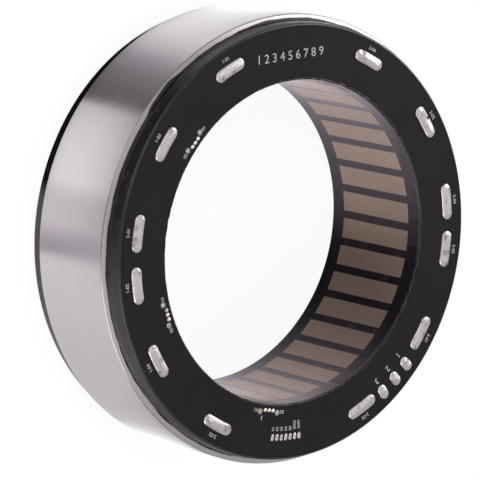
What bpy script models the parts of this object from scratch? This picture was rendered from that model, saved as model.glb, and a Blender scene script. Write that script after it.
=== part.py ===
"""Stator of a frameless servo motor: wound, potted and fitted with its sensor board.

The stator stands on its rear end. The motor's axis is +Z, the rear face lies at z = 0, and the board
faces up. Sizes are in metres and angles are counted from +X, anticlockwise seen from above.
"""

import math

import bmesh
import bpy
from mathutils import Matrix, Vector

MM = 0.001

# Stator core: 36 teeth, one coil on each; tooth widths are shares of the slot pitch at the bore
OUTER_RADIUS = 57.5 * MM
CORE_DEPTH = 16.2 * MM
STACK_LENGTH = 26.1 * MM
SLOT_COUNT = 36
YOKE_THICKNESS = 4.1 * MM
TOOTH_SHARE = 0.416
TIP_SHARE = 0.7145
TIP_THICKNESS = 0.9 * MM
TIP_TAPER = 1.2 * MM
EDGE_CHAMFER = 0.4 * MM
FIRST_SLOT_ANGLE = math.radians(4.27)

# Potting: a casting with a ring at each end and a fill in each slot
REAR_END_HEIGHT = 4.75 * MM
FRONT_END_HEIGHT = 4.75 * MM
SHOULDER_WIDTH = 1.5 * MM
POTTING_BORE_STEP = 0.05 * MM
SLOT_FILL_STEP = 0.1 * MM
RIM_DRAFT = 0.3 * MM
RIM_ROUND = 0.5 * MM
LIP_THICKNESS = 0.45 * MM
LIP_ROUND = 0.35 * MM
REAR_ROUND = 0.7 * MM
REAR_BORE_CHAMFER = 0.35 * MM

# Gap left round every piece that the casting or its neighbour wraps
CLEARANCE = 0.3 * MM

# Circuit board, let into the front of the casting
BOARD_THICKNESS = 1.2 * MM
BOARD_RIM_WIDTH = 1.0 * MM

# End insulators: moulded plates on both end faces of the core, the flange's corners a quarter slot round
INSULATOR_THICKNESS = 0.5 * MM
INSULATOR_FLANGE = 1.5 * MM
FLANGE_CORNER = 0.25

# Coils and the wire that joins them
COIL_START = 2.8 * MM
COIL_SPACING = 1.2 * MM
COIL_END_HEIGHT = 2.05 * MM
COIL_ROOT_GAP = 0.5 * MM
COIL_CHAMFER = 1.1 * MM
COIL_INNER_CHAMFER = 0.3 * MM
WIRE_RADIUS = 0.3 * MM
JUMPER_LANE_GAP = 0.85 * MM
JUMPER_FLOOR_GAP = 0.6 * MM
JUMPER_TIER_PITCH = 0.9 * MM
LEAD_OFFSET = math.radians(2.2)
LEAD_DEPTH = 0.6 * MM
CROSSOVER_LIFT = 0.95 * MM
TAIL_RADIUS = 0.35 * MM

# Winding layout: twelve groups of three teeth, each phase wound in two halves, its ends outside mid-coil
PHASE_COUNT = 3
TEETH_PER_GROUP = 3
FIRST_GROUP_SLOT = 19
TAIL_OFFSET = 1.9 * MM
START_PAD_ANGLES = ((-139.1, -109.3, -82.9), (41.6, 71.5, 97.8))
END_PAD_ANGLES = ((-68.1, -44.5, -14.2), (112.0, 138.2, 168.2))

# Solder on the board's face, its circles counted from the circle of the winding's ends
COIL_PAD_LENGTH = 9.5 * MM
COIL_PAD_WIDTH = 3.1 * MM
COIL_PAD_HEIGHT = 0.6 * MM
PHASE_PAD_OFFSET = 0.9 * MM
PHASE_PAD_ANGLES = (61.5, 55.9, 50.3)
PHASE_PAD_LENGTH = 2.8 * MM
PHASE_PAD_WIDTH = 4.2 * MM
PHASE_PAD_HEIGHT = 0.55 * MM
SIGNAL_PAD_COUNT = 7
SIGNAL_PAD_OFFSET = -0.5 * MM
SIGNAL_PAD_ANGLE = 12.15
SIGNAL_PAD_PITCH = 1.45 * MM
SIGNAL_PAD_LENGTH = 1.8 * MM
SIGNAL_PAD_WIDTH = 0.95 * MM
SIGNAL_PAD_HEIGHT = 0.3 * MM
# Each ring of a joint: its inset as a share of half the width, and its rise as a share of the height
SOLDER_PROFILE = ((0.0, 0.0), (0.18, 0.55), (0.55, 0.92))
SENSOR_PAD_RADIUS = 0.52 * MM
SENSOR_PAD_HEIGHT = 0.35 * MM

# Hall sensors, hung from the board over three slots a sixth of a turn apart
SENSOR_SLOTS = (0, 30, 24)
SENSOR_SETBACK = 1.65 * MM
SENSOR_WIDTH = 4.1 * MM
SENSOR_DEPTH = 1.5 * MM
SENSOR_HEIGHT = 2.5 * MM
SENSOR_BEVEL = 0.6 * MM
LEG_PITCH = 1.27 * MM
LEG_WIDTH = 0.4 * MM

# Temperature sensor chip, soldered under the board over a slot beside the signal pads
THERMISTOR_SLOT = 1
THERMISTOR_LENGTH = 2.0 * MM
THERMISTOR_WIDTH = 1.25 * MM
THERMISTOR_HEIGHT = 0.8 * MM
THERMISTOR_CHAMFER = 0.12 * MM

# Facets
CORE_SEGMENTS = 3 * SLOT_COUNT
RING_SEGMENTS = 2 * SLOT_COUNT
JUMPER_STEP = math.radians(11.0)
WIRE_SIDES_RESOLUTION = 1
HOLE_SIDES = 6

# Sizes that follow from those above
SLOT_PITCH = 2.0 * math.pi / SLOT_COUNT
GROUP_COUNT = SLOT_COUNT // TEETH_PER_GROUP
BORE_RADIUS = OUTER_RADIUS - CORE_DEPTH
TOOTH_WIDTH = TOOTH_SHARE * SLOT_PITCH * BORE_RADIUS
TIP_WIDTH = TIP_SHARE * SLOT_PITCH * BORE_RADIUS
POTTING_RADIUS = OUTER_RADIUS - SHOULDER_WIDTH
REAR_STACK_Z = REAR_END_HEIGHT
FRONT_STACK_Z = REAR_END_HEIGHT + STACK_LENGTH
BOARD_FACE_Z = FRONT_STACK_Z + FRONT_END_HEIGHT
BOARD_BACK_Z = BOARD_FACE_Z - BOARD_THICKNESS
SLOT_BOTTOM_RADIUS = OUTER_RADIUS - YOKE_THICKNESS
POTTING_BORE = BORE_RADIUS + POTTING_BORE_STEP
RIM_TOP_RADIUS = POTTING_RADIUS - RIM_DRAFT
RECESS_RADIUS = POTTING_RADIUS - BOARD_RIM_WIDTH
RECESS_BORE = POTTING_BORE + LIP_THICKNESS
COIL_INNER_RADIUS = BORE_RADIUS + COIL_START
COIL_OUTER_RADIUS = SLOT_BOTTOM_RADIUS - COIL_ROOT_GAP
COIL_FLOOR_Z = FRONT_STACK_Z + INSULATOR_THICKNESS + CLEARANCE
COIL_TOP_Z = COIL_FLOOR_Z + COIL_END_HEIGHT
COIL_CEILING_Z = REAR_STACK_Z - INSULATOR_THICKNESS - CLEARANCE
COIL_BOTTOM_Z = COIL_CEILING_Z - COIL_END_HEIGHT
COIL_PAD_RADIUS = (COIL_INNER_RADIUS + COIL_OUTER_RADIUS) / 2.0 + TAIL_OFFSET
PHASE_PAD_RADIUS = COIL_PAD_RADIUS + PHASE_PAD_OFFSET
SIGNAL_PAD_RADIUS = COIL_PAD_RADIUS + SIGNAL_PAD_OFFSET
SENSOR_RADIUS = BORE_RADIUS + SENSOR_SETBACK
JUMPER_LANE = COIL_OUTER_RADIUS + JUMPER_LANE_GAP
FIRST_TIER_Z = FRONT_STACK_Z + INSULATOR_THICKNESS + JUMPER_FLOOR_GAP
CROSSOVER_RADIUS = COIL_OUTER_RADIUS - WIRE_RADIUS
CROSSOVER_Z = COIL_FLOOR_Z + CROSSOVER_LIFT
CUT_MARGIN = 0.1 * MM


def clear_scene():
    """Remove every object of the scene."""
    for old in list(bpy.data.objects):
        bpy.data.objects.remove(old, do_unlink=True)


def material(name, colour, roughness, metallic):
    """Return a plain Principled material."""
    made = bpy.data.materials.new(name)
    made.use_nodes = True
    shader = made.node_tree.nodes["Principled BSDF"]
    shader.inputs["Base Color"].default_value = (*colour, 1.0)
    shader.inputs["Roughness"].default_value = roughness
    shader.inputs["Metallic"].default_value = metallic
    return made


def add_object(name, bm, finish=None):
    """Turn a bmesh into an object of the scene, with its faces pointing out."""
    bmesh.ops.recalc_face_normals(bm, faces=bm.faces)
    mesh = bpy.data.meshes.new(name)
    bm.to_mesh(mesh)
    bm.free()
    mesh.shade_smooth()
    mesh.set_sharp_from_angle(angle=math.radians(35.0))
    made = bpy.data.objects.new(name, mesh)
    bpy.context.scene.collection.objects.link(made)
    if finish:
        mesh.materials.append(finish)
    return made


def add_cutter(name, bm):
    """Add an object that only shapes others."""
    made = add_object(name, bm)
    made.hide_render = True
    made.display_type = "WIRE"
    return made


def boolean(target, tool, operation):
    """Add an exact Boolean to an object."""
    step = target.modifiers.new(f"{operation.lower()} {tool.name}", "BOOLEAN")
    step.operation = operation
    step.solver = "EXACT"
    step.object = tool


def polar(radius, angle, z=0.0):
    """Return the point at a radius and an angle round the axis."""
    return Vector((radius * math.cos(angle), radius * math.sin(angle), z))


def beside(along, aside, angle, z=0.0):
    """Return a point given along and square to the radial line at an angle."""
    return Matrix.Rotation(angle, 4, "Z") @ Vector((along, aside, z))


def slot_angle(index):
    """Return the angle of a slot's centre line."""
    return FIRST_SLOT_ANGLE + index * SLOT_PITCH


def tooth_angle(index):
    """Return the angle of the tooth that follows the slot of the same number."""
    return slot_angle(index + 0.5)


def boundary_angle(group):
    """Return the angle of the slot where a group of teeth begins."""
    return slot_angle(FIRST_GROUP_SLOT + TEETH_PER_GROUP * group)


def closed_loop(bm, points):
    """Add a closed loop of edges through the points and return the edges."""
    verts = [bm.verts.new(point) for point in points]
    return [bm.edges.new((verts[i - 1], verts[i])) for i in range(len(verts))]


def skin(bm, first, second):
    """Join two loops of vertices that have as many points with a band of faces."""
    for i in range(len(first)):
        bm.faces.new((first[i - 1], first[i], second[i], second[i - 1]))


def ring_of_verts(bm, points):
    """Add a vertex at each point."""
    return [bm.verts.new(point) for point in points]


def prism(bm, points, height):
    """Add a closed prism over a flat outline."""
    face = bm.faces.new([bm.verts.new(point) for point in points])
    grown = bmesh.ops.extrude_face_region(bm, geom=[face])
    moved = [item for item in grown["geom"] if isinstance(item, bmesh.types.BMVert)]
    bmesh.ops.translate(bm, verts=moved, vec=(0.0, 0.0, height))


def plate_with_hole(bm, outer, inner, height):
    """Add a plate between two flat outlines."""
    edges = closed_loop(bm, outer) + closed_loop(bm, inner)
    filled = bmesh.ops.triangle_fill(bm, use_beauty=True, edges=edges)
    faces = [item for item in filled["geom"] if isinstance(item, bmesh.types.BMFace)]
    grown = bmesh.ops.extrude_face_region(bm, geom=faces)
    moved = [item for item in grown["geom"] if isinstance(item, bmesh.types.BMVert)]
    bmesh.ops.translate(bm, verts=moved, vec=(0.0, 0.0, height))


def turned(bm, profile, segments=RING_SEGMENTS, start=FIRST_SLOT_ANGLE):
    """Spin a closed profile of (radius, z) points into a ring, with its first corner at the start angle."""
    points = [polar(radius, start, z) for radius, z in profile]
    edges = closed_loop(bm, points)
    verts = list({vert for edge in edges for vert in edge.verts})
    whole = 2.0 * math.pi
    bmesh.ops.spin(
        bm, geom=edges + verts, axis=(0, 0, 1), cent=(0, 0, 0), angle=whole, steps=segments, use_merge=True
    )


def arc(centre_r, centre_z, radius, start, end, steps=3):
    """Return the points of an arc in a profile, angles in degrees from the +radius direction."""
    points = []
    for i in range(steps + 1):
        turn = math.radians(start + (end - start) * i / steps)
        points.append((centre_r + radius * math.cos(turn), centre_z + radius * math.sin(turn)))
    return points


def cylinder(bm, radius, centre, low, high, sides=HOLE_SIDES):
    """Add an upright closed cylinder."""
    middle = Matrix.Translation((centre.x, centre.y, (low + high) / 2.0))
    bmesh.ops.create_cone(
        bm, cap_ends=True, segments=sides, radius1=radius, radius2=radius, depth=high - low, matrix=middle
    )


def block(bm, radius, angle, size, low):
    """Add a box turned to face the axis; size is radial, tangential and height."""
    place = Matrix.Rotation(angle, 4, "Z") @ Matrix.Translation((radius, 0.0, low + size[2] / 2.0))
    bmesh.ops.create_cube(bm, size=1.0, matrix=place @ Matrix.Diagonal((*size, 1.0)))


def tooth_side(gap):
    """Return the outline of one side of a tooth, from the bore to the slot's floor.

    Points are (along, aside) from the tooth's centre line, moved off the steel by the gap.
    """
    tip = TIP_WIDTH / 2.0 + gap
    flank = TOOTH_WIDTH / 2.0 + gap
    bore = BORE_RADIUS + (SLOT_FILL_STEP if gap else 0.0)
    floor = SLOT_BOTTOM_RADIUS - gap
    return [
        (math.sqrt(bore**2 - tip**2), tip),
        (BORE_RADIUS + TIP_THICKNESS, tip),
        (BORE_RADIUS + TIP_THICKNESS + TIP_TAPER + gap, flank),
        (math.sqrt(floor**2 - flank**2), flank),
    ]


def slot_outline(index, gap):
    """Return one slot's outline, from the tip of the tooth before it to the tip of the tooth after it."""
    side = tooth_side(gap)
    rising = [beside(along, aside, tooth_angle(index - 1)) for along, aside in side]
    falling = [beside(along, -aside, tooth_angle(index)) for along, aside in reversed(side)]
    return rising + falling


def is_rim(edge):
    """Tell whether an edge is part of the sharp circle round an end of the core."""
    first, second = edge.verts
    outside = min(first.co.xy.length, second.co.xy.length) > SLOT_BOTTOM_RADIUS + YOKE_THICKNESS / 2.0
    level = abs(first.co.z - second.co.z) < CUT_MARGIN
    return outside and level and edge.calc_face_angle(0.0) > math.radians(45.0)


def stator_core(finish):
    """Laminated ring with its teeth, wider at the tips."""
    inner = []
    for index in range(SLOT_COUNT):
        inner += slot_outline(index, 0.0)
        inner.append(polar(BORE_RADIUS, tooth_angle(index)))
    step = 2.0 * math.pi / CORE_SEGMENTS
    outer = [polar(OUTER_RADIUS, FIRST_SLOT_ANGLE + i * step) for i in range(CORE_SEGMENTS)]
    bm = bmesh.new()
    plate_with_hole(bm, outer, inner, STACK_LENGTH)
    rim = [edge for edge in bm.edges if is_rim(edge)]
    bmesh.ops.bevel(
        bm, geom=rim, offset=EDGE_CHAMFER, segments=1, profile=0.5, affect="EDGES", material=-1
    )
    bmesh.ops.translate(bm, verts=bm.verts, vec=(0.0, 0.0, REAR_STACK_Z))
    return add_object("stator_core", bm, finish)


def end_insulator(name, low, finish):
    """Plate with a flange on the yoke and an arm on every tooth."""
    half = TOOTH_WIDTH / 2.0
    flange = SLOT_BOTTOM_RADIUS
    inner = []
    for index in range(SLOT_COUNT):
        root = math.sqrt(flange**2 - half**2)
        inner.append(beside(root, -half, tooth_angle(index)))
        inner.append(beside(COIL_INNER_RADIUS, -half, tooth_angle(index)))
        inner.append(beside(COIL_INNER_RADIUS, half, tooth_angle(index)))
        inner.append(beside(root, half, tooth_angle(index)))
    corners = [slot_angle(index + FLANGE_CORNER) for index in range(SLOT_COUNT)]
    outer = [polar(flange + INSULATOR_FLANGE, angle) for angle in corners]
    bm = bmesh.new()
    plate_with_hole(bm, outer, inner, INSULATOR_THICKNESS)
    bmesh.ops.translate(bm, verts=bm.verts, vec=(0.0, 0.0, low))
    return add_object(name, bm, finish)


def coil_half_width(along):
    """Return half the width of a coil at a distance along its tooth, with neighbours kept apart."""
    half_pitch = SLOT_PITCH / 2.0
    return along * math.tan(half_pitch) - COIL_SPACING / 2.0 / math.cos(half_pitch)


def coil_loop(along, half_width, low, high, chamfer, angle):
    """Return a rectangle with cut corners that stands round a tooth at a distance along it."""
    near = half_width - chamfer
    outline = (
        (half_width, high - chamfer),
        (near, high),
        (-near, high),
        (-half_width, high - chamfer),
        (-half_width, low + chamfer),
        (-near, low),
        (near, low),
        (half_width, low + chamfer),
    )
    return [beside(along, aside, angle, z) for aside, z in outline]


def add_coil(bm, tooth):
    """Add the coil of one tooth: a ring that widens towards the yoke."""
    angle = tooth_angle(tooth)
    hole = TOOTH_WIDTH / 2.0 + CLEARANCE
    loops = []
    for along in (COIL_INNER_RADIUS, COIL_OUTER_RADIUS):
        wide = coil_half_width(along)
        loops.append(coil_loop(along, wide, COIL_BOTTOM_Z, COIL_TOP_Z, COIL_CHAMFER, angle))
        loops.append(coil_loop(along, hole, COIL_CEILING_Z, COIL_FLOOR_Z, COIL_INNER_CHAMFER, angle))
    outer_front, inner_front, outer_back, inner_back = [ring_of_verts(bm, points) for points in loops]
    skin(bm, outer_front, outer_back)
    skin(bm, outer_back, inner_back)
    skin(bm, inner_back, inner_front)
    skin(bm, inner_front, outer_front)


def add_coil_space(bm, tooth):
    """Add the room that one coil and its tooth take in the casting."""
    angle = tooth_angle(tooth)
    low = COIL_BOTTOM_Z - CLEARANCE
    outline = []
    for along, side in (
        (COIL_INNER_RADIUS - CLEARANCE, -1.0),
        (COIL_INNER_RADIUS - CLEARANCE, 1.0),
        (COIL_OUTER_RADIUS + CLEARANCE, 1.0),
        (COIL_OUTER_RADIUS + CLEARANCE, -1.0),
    ):
        outline.append(beside(along, side * (coil_half_width(along) + CLEARANCE), angle, low))
    prism(bm, outline, COIL_TOP_Z + CLEARANCE - low)


def add_wire(bm, points, radius):
    """Add a round wire along the points, as a closed tube."""
    curve = bpy.data.curves.new("wire path", "CURVE")
    curve.dimensions = "3D"
    curve.bevel_depth = radius
    curve.bevel_resolution = WIRE_SIDES_RESOLUTION
    curve.use_fill_caps = True
    spline = curve.splines.new("POLY")
    spline.points.add(len(points) - 1)
    for item, point in zip(spline.points, points):
        item.co = (*point, 1.0)
    path = bpy.data.objects.new("wire path", curve)
    mesh = bpy.data.meshes.new_from_object(path)
    tube = bmesh.new()
    tube.from_mesh(mesh)
    bmesh.ops.remove_doubles(tube, verts=tube.verts, dist=1e-7)
    bmesh.ops.recalc_face_normals(tube, faces=tube.faces)
    tube.to_mesh(mesh)
    tube.free()
    bm.from_mesh(mesh)
    bpy.data.objects.remove(path)
    bpy.data.curves.remove(curve)
    bpy.data.meshes.remove(mesh)


class Winding:
    """One half of a phase: two groups of coils, the jumper between them and the two ends."""

    def __init__(self, phase, half):
        first = phase + half * GROUP_COUNT // 2
        second = first + PHASE_COUNT
        self.name = f"phase_{phase + 1}_winding_{'ab'[half]}"
        self.tier = phase
        self.groups = (first, second)
        self.jumper_span = (boundary_angle(first) + LEAD_OFFSET, boundary_angle(second + 1) - LEAD_OFFSET)
        self.pad_angles = (
            math.radians(START_PAD_ANGLES[half][phase]),
            math.radians(END_PAD_ANGLES[half][phase]),
        )

    def teeth(self):
        """Return the numbers of the teeth that carry its coils."""
        starts = [FIRST_GROUP_SLOT + TEETH_PER_GROUP * group for group in self.groups]
        return [start + i for start in starts for i in range(TEETH_PER_GROUP)]

    def crossover_slots(self):
        """Return the slots inside its groups, which the wire crosses from coil to coil."""
        starts = [FIRST_GROUP_SLOT + TEETH_PER_GROUP * group for group in self.groups]
        return [start + i for start in starts for i in range(1, TEETH_PER_GROUP)]

    def jumper_z(self):
        """Return the height of its jumper, one tier for each phase."""
        return FIRST_TIER_Z + self.tier * JUMPER_TIER_PITCH

    def jumper_path(self):
        """Return the jumper's route: out of a coil, round the lane and into the far coil."""
        start, end = self.jumper_span
        z = self.jumper_z()
        corner = WIRE_RADIUS * 2.0 / JUMPER_LANE
        count = round((end - start) / JUMPER_STEP)
        inner = COIL_OUTER_RADIUS - LEAD_DEPTH
        bend = JUMPER_LANE - WIRE_RADIUS * 2.0
        lane = [start + corner + (end - start - 2.0 * corner) * i / count for i in range(count + 1)]
        return (
            [polar(inner, start, z), polar(bend, start, z)]
            + [polar(JUMPER_LANE, angle, z) for angle in lane]
            + [polar(bend, end, z), polar(inner, end, z)]
        )

    def build(self, finish):
        """Build the winding as one wire-bound body."""
        coils = bmesh.new()
        for tooth in self.teeth():
            add_coil(coils, tooth)
        leads = bmesh.new()
        add_wire(leads, self.jumper_path(), WIRE_RADIUS)
        reach = COIL_SPACING / 2.0 + LEAD_DEPTH
        for slot in self.crossover_slots():
            angle = slot_angle(slot)
            ends = [beside(CROSSOVER_RADIUS, aside, angle, CROSSOVER_Z) for aside in (-reach, reach)]
            add_wire(leads, ends, WIRE_RADIUS)
        for angle in self.pad_angles:
            foot = COIL_FLOOR_Z + CLEARANCE
            cylinder(leads, TAIL_RADIUS, polar(COIL_PAD_RADIUS, angle), foot, BOARD_FACE_Z)
        made = add_object(self.name, coils, finish)
        boolean(made, add_cutter(f"{self.name}_leads", leads), "UNION")
        return made


def jumper_space(bm, winding):
    """Add the channel that a jumper and its two leads take in the casting.

    A channel that would leave only a film of resin under the board opens into the board's recess.
    """
    start, end = winding.jumper_span
    room = WIRE_RADIUS + CLEARANCE
    margin = room / JUMPER_LANE
    low = winding.jumper_z() - room
    high = winding.jumper_z() + room
    if BOARD_BACK_Z - high < CLEARANCE:
        high = BOARD_BACK_Z + CUT_MARGIN
    inner = COIL_OUTER_RADIUS - CLEARANCE
    outer = JUMPER_LANE + room
    count = round((end - start) / JUMPER_STEP)
    angles = [start - margin + (end - start + 2.0 * margin) * i / count for i in range(count + 1)]
    outline = [polar(outer, angle, low) for angle in angles]
    outline += [polar(inner, angle, low) for angle in reversed(angles)]
    prism(bm, outline, high - low)


def slot_fill():
    """Resin in the slots, reaching a little way into both end rings."""
    bm = bmesh.new()
    reach = INSULATOR_THICKNESS
    for index in range(SLOT_COUNT):
        outline = [point + Vector((0, 0, REAR_STACK_Z - reach)) for point in slot_outline(index, CLEARANCE)]
        prism(bm, outline, STACK_LENGTH + 2.0 * reach)
    return add_cutter("slot_fill", bm)


def coil_spaces():
    """Room for the coils, with every tooth inside its coil."""
    bm = bmesh.new()
    for index in range(SLOT_COUNT):
        add_coil_space(bm, index)
    return add_cutter("coil_spaces", bm)


def insulator_spaces():
    """Room for the flanges of both end insulators."""
    bm = bmesh.new()
    height = INSULATOR_THICKNESS + CLEARANCE
    inner = SLOT_BOTTOM_RADIUS - CLEARANCE
    outer = SLOT_BOTTOM_RADIUS + INSULATOR_FLANGE + CLEARANCE
    for low, high in (
        (FRONT_STACK_Z - CUT_MARGIN, FRONT_STACK_Z + height),
        (REAR_STACK_Z - height, REAR_STACK_Z + CUT_MARGIN),
    ):
        section = [(inner, low), (outer, low), (outer, high), (inner, high)]
        turned(bm, section, segments=SLOT_COUNT, start=slot_angle(FLANGE_CORNER))
    return add_cutter("insulator_spaces", bm)


def lead_spaces(windings):
    """Room for the wire's ends, and for its crossovers from coil to coil."""
    bm = bmesh.new()
    room = WIRE_RADIUS + CLEARANCE
    for winding in windings:
        for angle in winding.pad_angles:
            place = polar(COIL_PAD_RADIUS, angle)
            cylinder(bm, TAIL_RADIUS + CLEARANCE, place, COIL_TOP_Z - CLEARANCE, BOARD_BACK_Z + CUT_MARGIN)
        for slot in winding.crossover_slots():
            size = (2.0 * room, COIL_SPACING + 2.0 * CUT_MARGIN, 2.0 * room)
            block(bm, CROSSOVER_RADIUS, slot_angle(slot), size, CROSSOVER_Z - room)
    return add_cutter("lead_spaces", bm)


def sensor_spaces():
    """Pockets for the hall sensors and the temperature sensor, open to the board."""
    bm = bmesh.new()
    top = BOARD_BACK_Z + CUT_MARGIN
    low = BOARD_BACK_Z - CLEARANCE - SENSOR_HEIGHT - CLEARANCE
    for slot in SENSOR_SLOTS:
        size = (SENSOR_DEPTH + 2.0 * CLEARANCE, SENSOR_WIDTH + 2.0 * CLEARANCE, top - low)
        block(bm, SENSOR_RADIUS, slot_angle(slot), size, low)
    low = BOARD_BACK_Z - THERMISTOR_HEIGHT - CLEARANCE
    size = (THERMISTOR_LENGTH + 2.0 * CLEARANCE, THERMISTOR_WIDTH + 2.0 * CLEARANCE, top - low)
    block(bm, SIGNAL_PAD_RADIUS, slot_angle(THERMISTOR_SLOT), size, low)
    return add_cutter("sensor_spaces", bm)


def potting(windings, finish):
    """The casting: two end rings joined by the slot fills, hollow where the wound core sits."""
    bm = bmesh.new()
    rear = [(POTTING_BORE, REAR_BORE_CHAMFER), (POTTING_BORE + REAR_BORE_CHAMFER, 0.0)]
    rear += arc(POTTING_RADIUS - REAR_ROUND, REAR_ROUND, REAR_ROUND, -90.0, 0.0, steps=2)
    rear += [(POTTING_RADIUS, REAR_STACK_Z), (POTTING_BORE, REAR_STACK_Z)]
    turned(bm, rear)
    front = [(POTTING_BORE, FRONT_STACK_Z), (POTTING_RADIUS, FRONT_STACK_Z)]
    front += arc(RIM_TOP_RADIUS - RIM_ROUND, BOARD_FACE_Z - RIM_ROUND, RIM_ROUND, 0.0, 90.0, steps=2)
    front += [(RECESS_RADIUS, BOARD_FACE_Z), (RECESS_RADIUS, BOARD_BACK_Z)]
    front += [(RECESS_BORE, BOARD_BACK_Z), (RECESS_BORE, BOARD_FACE_Z)]
    front += arc(POTTING_BORE + LIP_ROUND, BOARD_FACE_Z - LIP_ROUND, LIP_ROUND, 90.0, 180.0, steps=1)
    turned(bm, front)
    made = add_object("potting", bm, finish)
    boolean(made, slot_fill(), "UNION")
    boolean(made, coil_spaces(), "DIFFERENCE")
    boolean(made, insulator_spaces(), "DIFFERENCE")
    for tier in range(PHASE_COUNT):
        channels = bmesh.new()
        for winding in windings:
            if winding.tier == tier:
                jumper_space(channels, winding)
        boolean(made, add_cutter(f"jumper_spaces_{tier + 1}", channels), "DIFFERENCE")
    boolean(made, lead_spaces(windings), "DIFFERENCE")
    boolean(made, sensor_spaces(), "DIFFERENCE")
    return made


def leg_places(slot):
    """Return the places of a hall sensor's three legs."""
    return [beside(SENSOR_RADIUS, i * LEG_PITCH, slot_angle(slot)) for i in (-1, 0, 1)]


def circuit_board(windings, finish):
    """Ring-shaped board, drilled for the wire's ends and the sensors' legs."""
    bm = bmesh.new()
    inner = RECESS_BORE + CLEARANCE
    outer = RECESS_RADIUS - CLEARANCE
    turned(
        bm, [(inner, BOARD_BACK_Z), (outer, BOARD_BACK_Z), (outer, BOARD_FACE_Z), (inner, BOARD_FACE_Z)]
    )
    holes = bmesh.new()
    low = BOARD_BACK_Z - CUT_MARGIN
    high = BOARD_FACE_Z + CUT_MARGIN
    for winding in windings:
        for angle in winding.pad_angles:
            cylinder(holes, TAIL_RADIUS + CLEARANCE, polar(COIL_PAD_RADIUS, angle), low, high)
    for slot in SENSOR_SLOTS:
        for place in leg_places(slot):
            cylinder(holes, LEG_WIDTH / math.sqrt(2.0) + CLEARANCE / 2.0, place, low, high)
    made = add_object("circuit_board", bm, finish)
    boolean(made, add_cutter("board_holes", holes), "DIFFERENCE")
    return made


def hall_sensor(name, slot, finish):
    """Moulded sensor with bevelled front corners, and three legs up through the board."""
    angle = slot_angle(slot)
    top = BOARD_BACK_Z - CLEARANCE
    low = top - SENSOR_HEIGHT
    back = SENSOR_RADIUS + SENSOR_DEPTH / 2.0
    front = SENSOR_RADIUS - SENSOR_DEPTH / 2.0
    side = SENSOR_WIDTH / 2.0
    outline = [
        (back, -side),
        (back, side),
        (front + SENSOR_BEVEL, side),
        (front, side - SENSOR_BEVEL),
        (front, SENSOR_BEVEL - side),
        (front + SENSOR_BEVEL, -side),
    ]
    bm = bmesh.new()
    prism(bm, [beside(along, aside, angle, low) for along, aside in outline], SENSOR_HEIGHT)
    legs = bmesh.new()
    for i in (-1, 0, 1):
        root = top - CLEARANCE
        place = Matrix.Rotation(angle, 4, "Z") @ Matrix.Translation(
            (SENSOR_RADIUS, i * LEG_PITCH, (root + BOARD_FACE_Z) / 2.0)
        )
        size = Matrix.Diagonal((LEG_WIDTH, LEG_WIDTH, BOARD_FACE_Z - root, 1.0))
        bmesh.ops.create_cube(legs, size=1.0, matrix=place @ size)
    made = add_object(name, bm, finish)
    boolean(made, add_cutter(f"{name}_legs", legs), "UNION")
    return made


def thermistor(finish):
    """Chip under the board, with eased edges."""
    bm = bmesh.new()
    size = (THERMISTOR_LENGTH, THERMISTOR_WIDTH, THERMISTOR_HEIGHT)
    block(bm, SIGNAL_PAD_RADIUS, slot_angle(THERMISTOR_SLOT), size, BOARD_BACK_Z - THERMISTOR_HEIGHT)
    upright = [edge for edge in bm.edges if abs(edge.verts[0].co.z - edge.verts[1].co.z) > CUT_MARGIN]
    bmesh.ops.bevel(
        bm, geom=upright, offset=THERMISTOR_CHAMFER, segments=1, profile=0.5, affect="EDGES", material=-1
    )
    return add_object("thermistor", bm, finish)


def solder_outline(length, width, inset, steps):
    """Return a round-ended outline, as (along, across) points."""
    radius = min(length, width) / 2.0 - inset
    reach = abs(length - width) / 2.0
    points = []
    for side, start in ((1.0, -90.0), (-1.0, 90.0)):
        end = arc(side * reach, 0.0, radius, start, start + 180.0, 2 * steps)
        points += end if reach else end[:-1]
    return points if length > width else [(-across, along) for along, across in points]


def solder_joint(name, radius, angle, size, finish, steps=2):
    """Domed solder on the board's face, bent along its circle; size is along it, across it and up."""
    length, width, height = size
    bm = bmesh.new()
    small = min(length, width) / 2.0
    loops = []
    for inset, rise in SOLDER_PROFILE:
        points = []
        for along, across in solder_outline(length, width, inset * small, steps):
            points.append(polar(radius + across, angle + along / radius, BOARD_FACE_Z + rise * height))
        loops.append(closed_loop(bm, points))
    bmesh.ops.edgeloop_fill(bm, edges=loops[0])
    bmesh.ops.bridge_loops(bm, edges=loops[0] + loops[1])
    bmesh.ops.bridge_loops(bm, edges=loops[1] + loops[2])
    crown = bmesh.ops.edgeloop_fill(bm, edges=loops[2])["faces"]
    bmesh.ops.poke(bm, faces=crown, offset=(1.0 - SOLDER_PROFILE[-1][1]) * height)
    return add_object(name, bm, finish)


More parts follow.
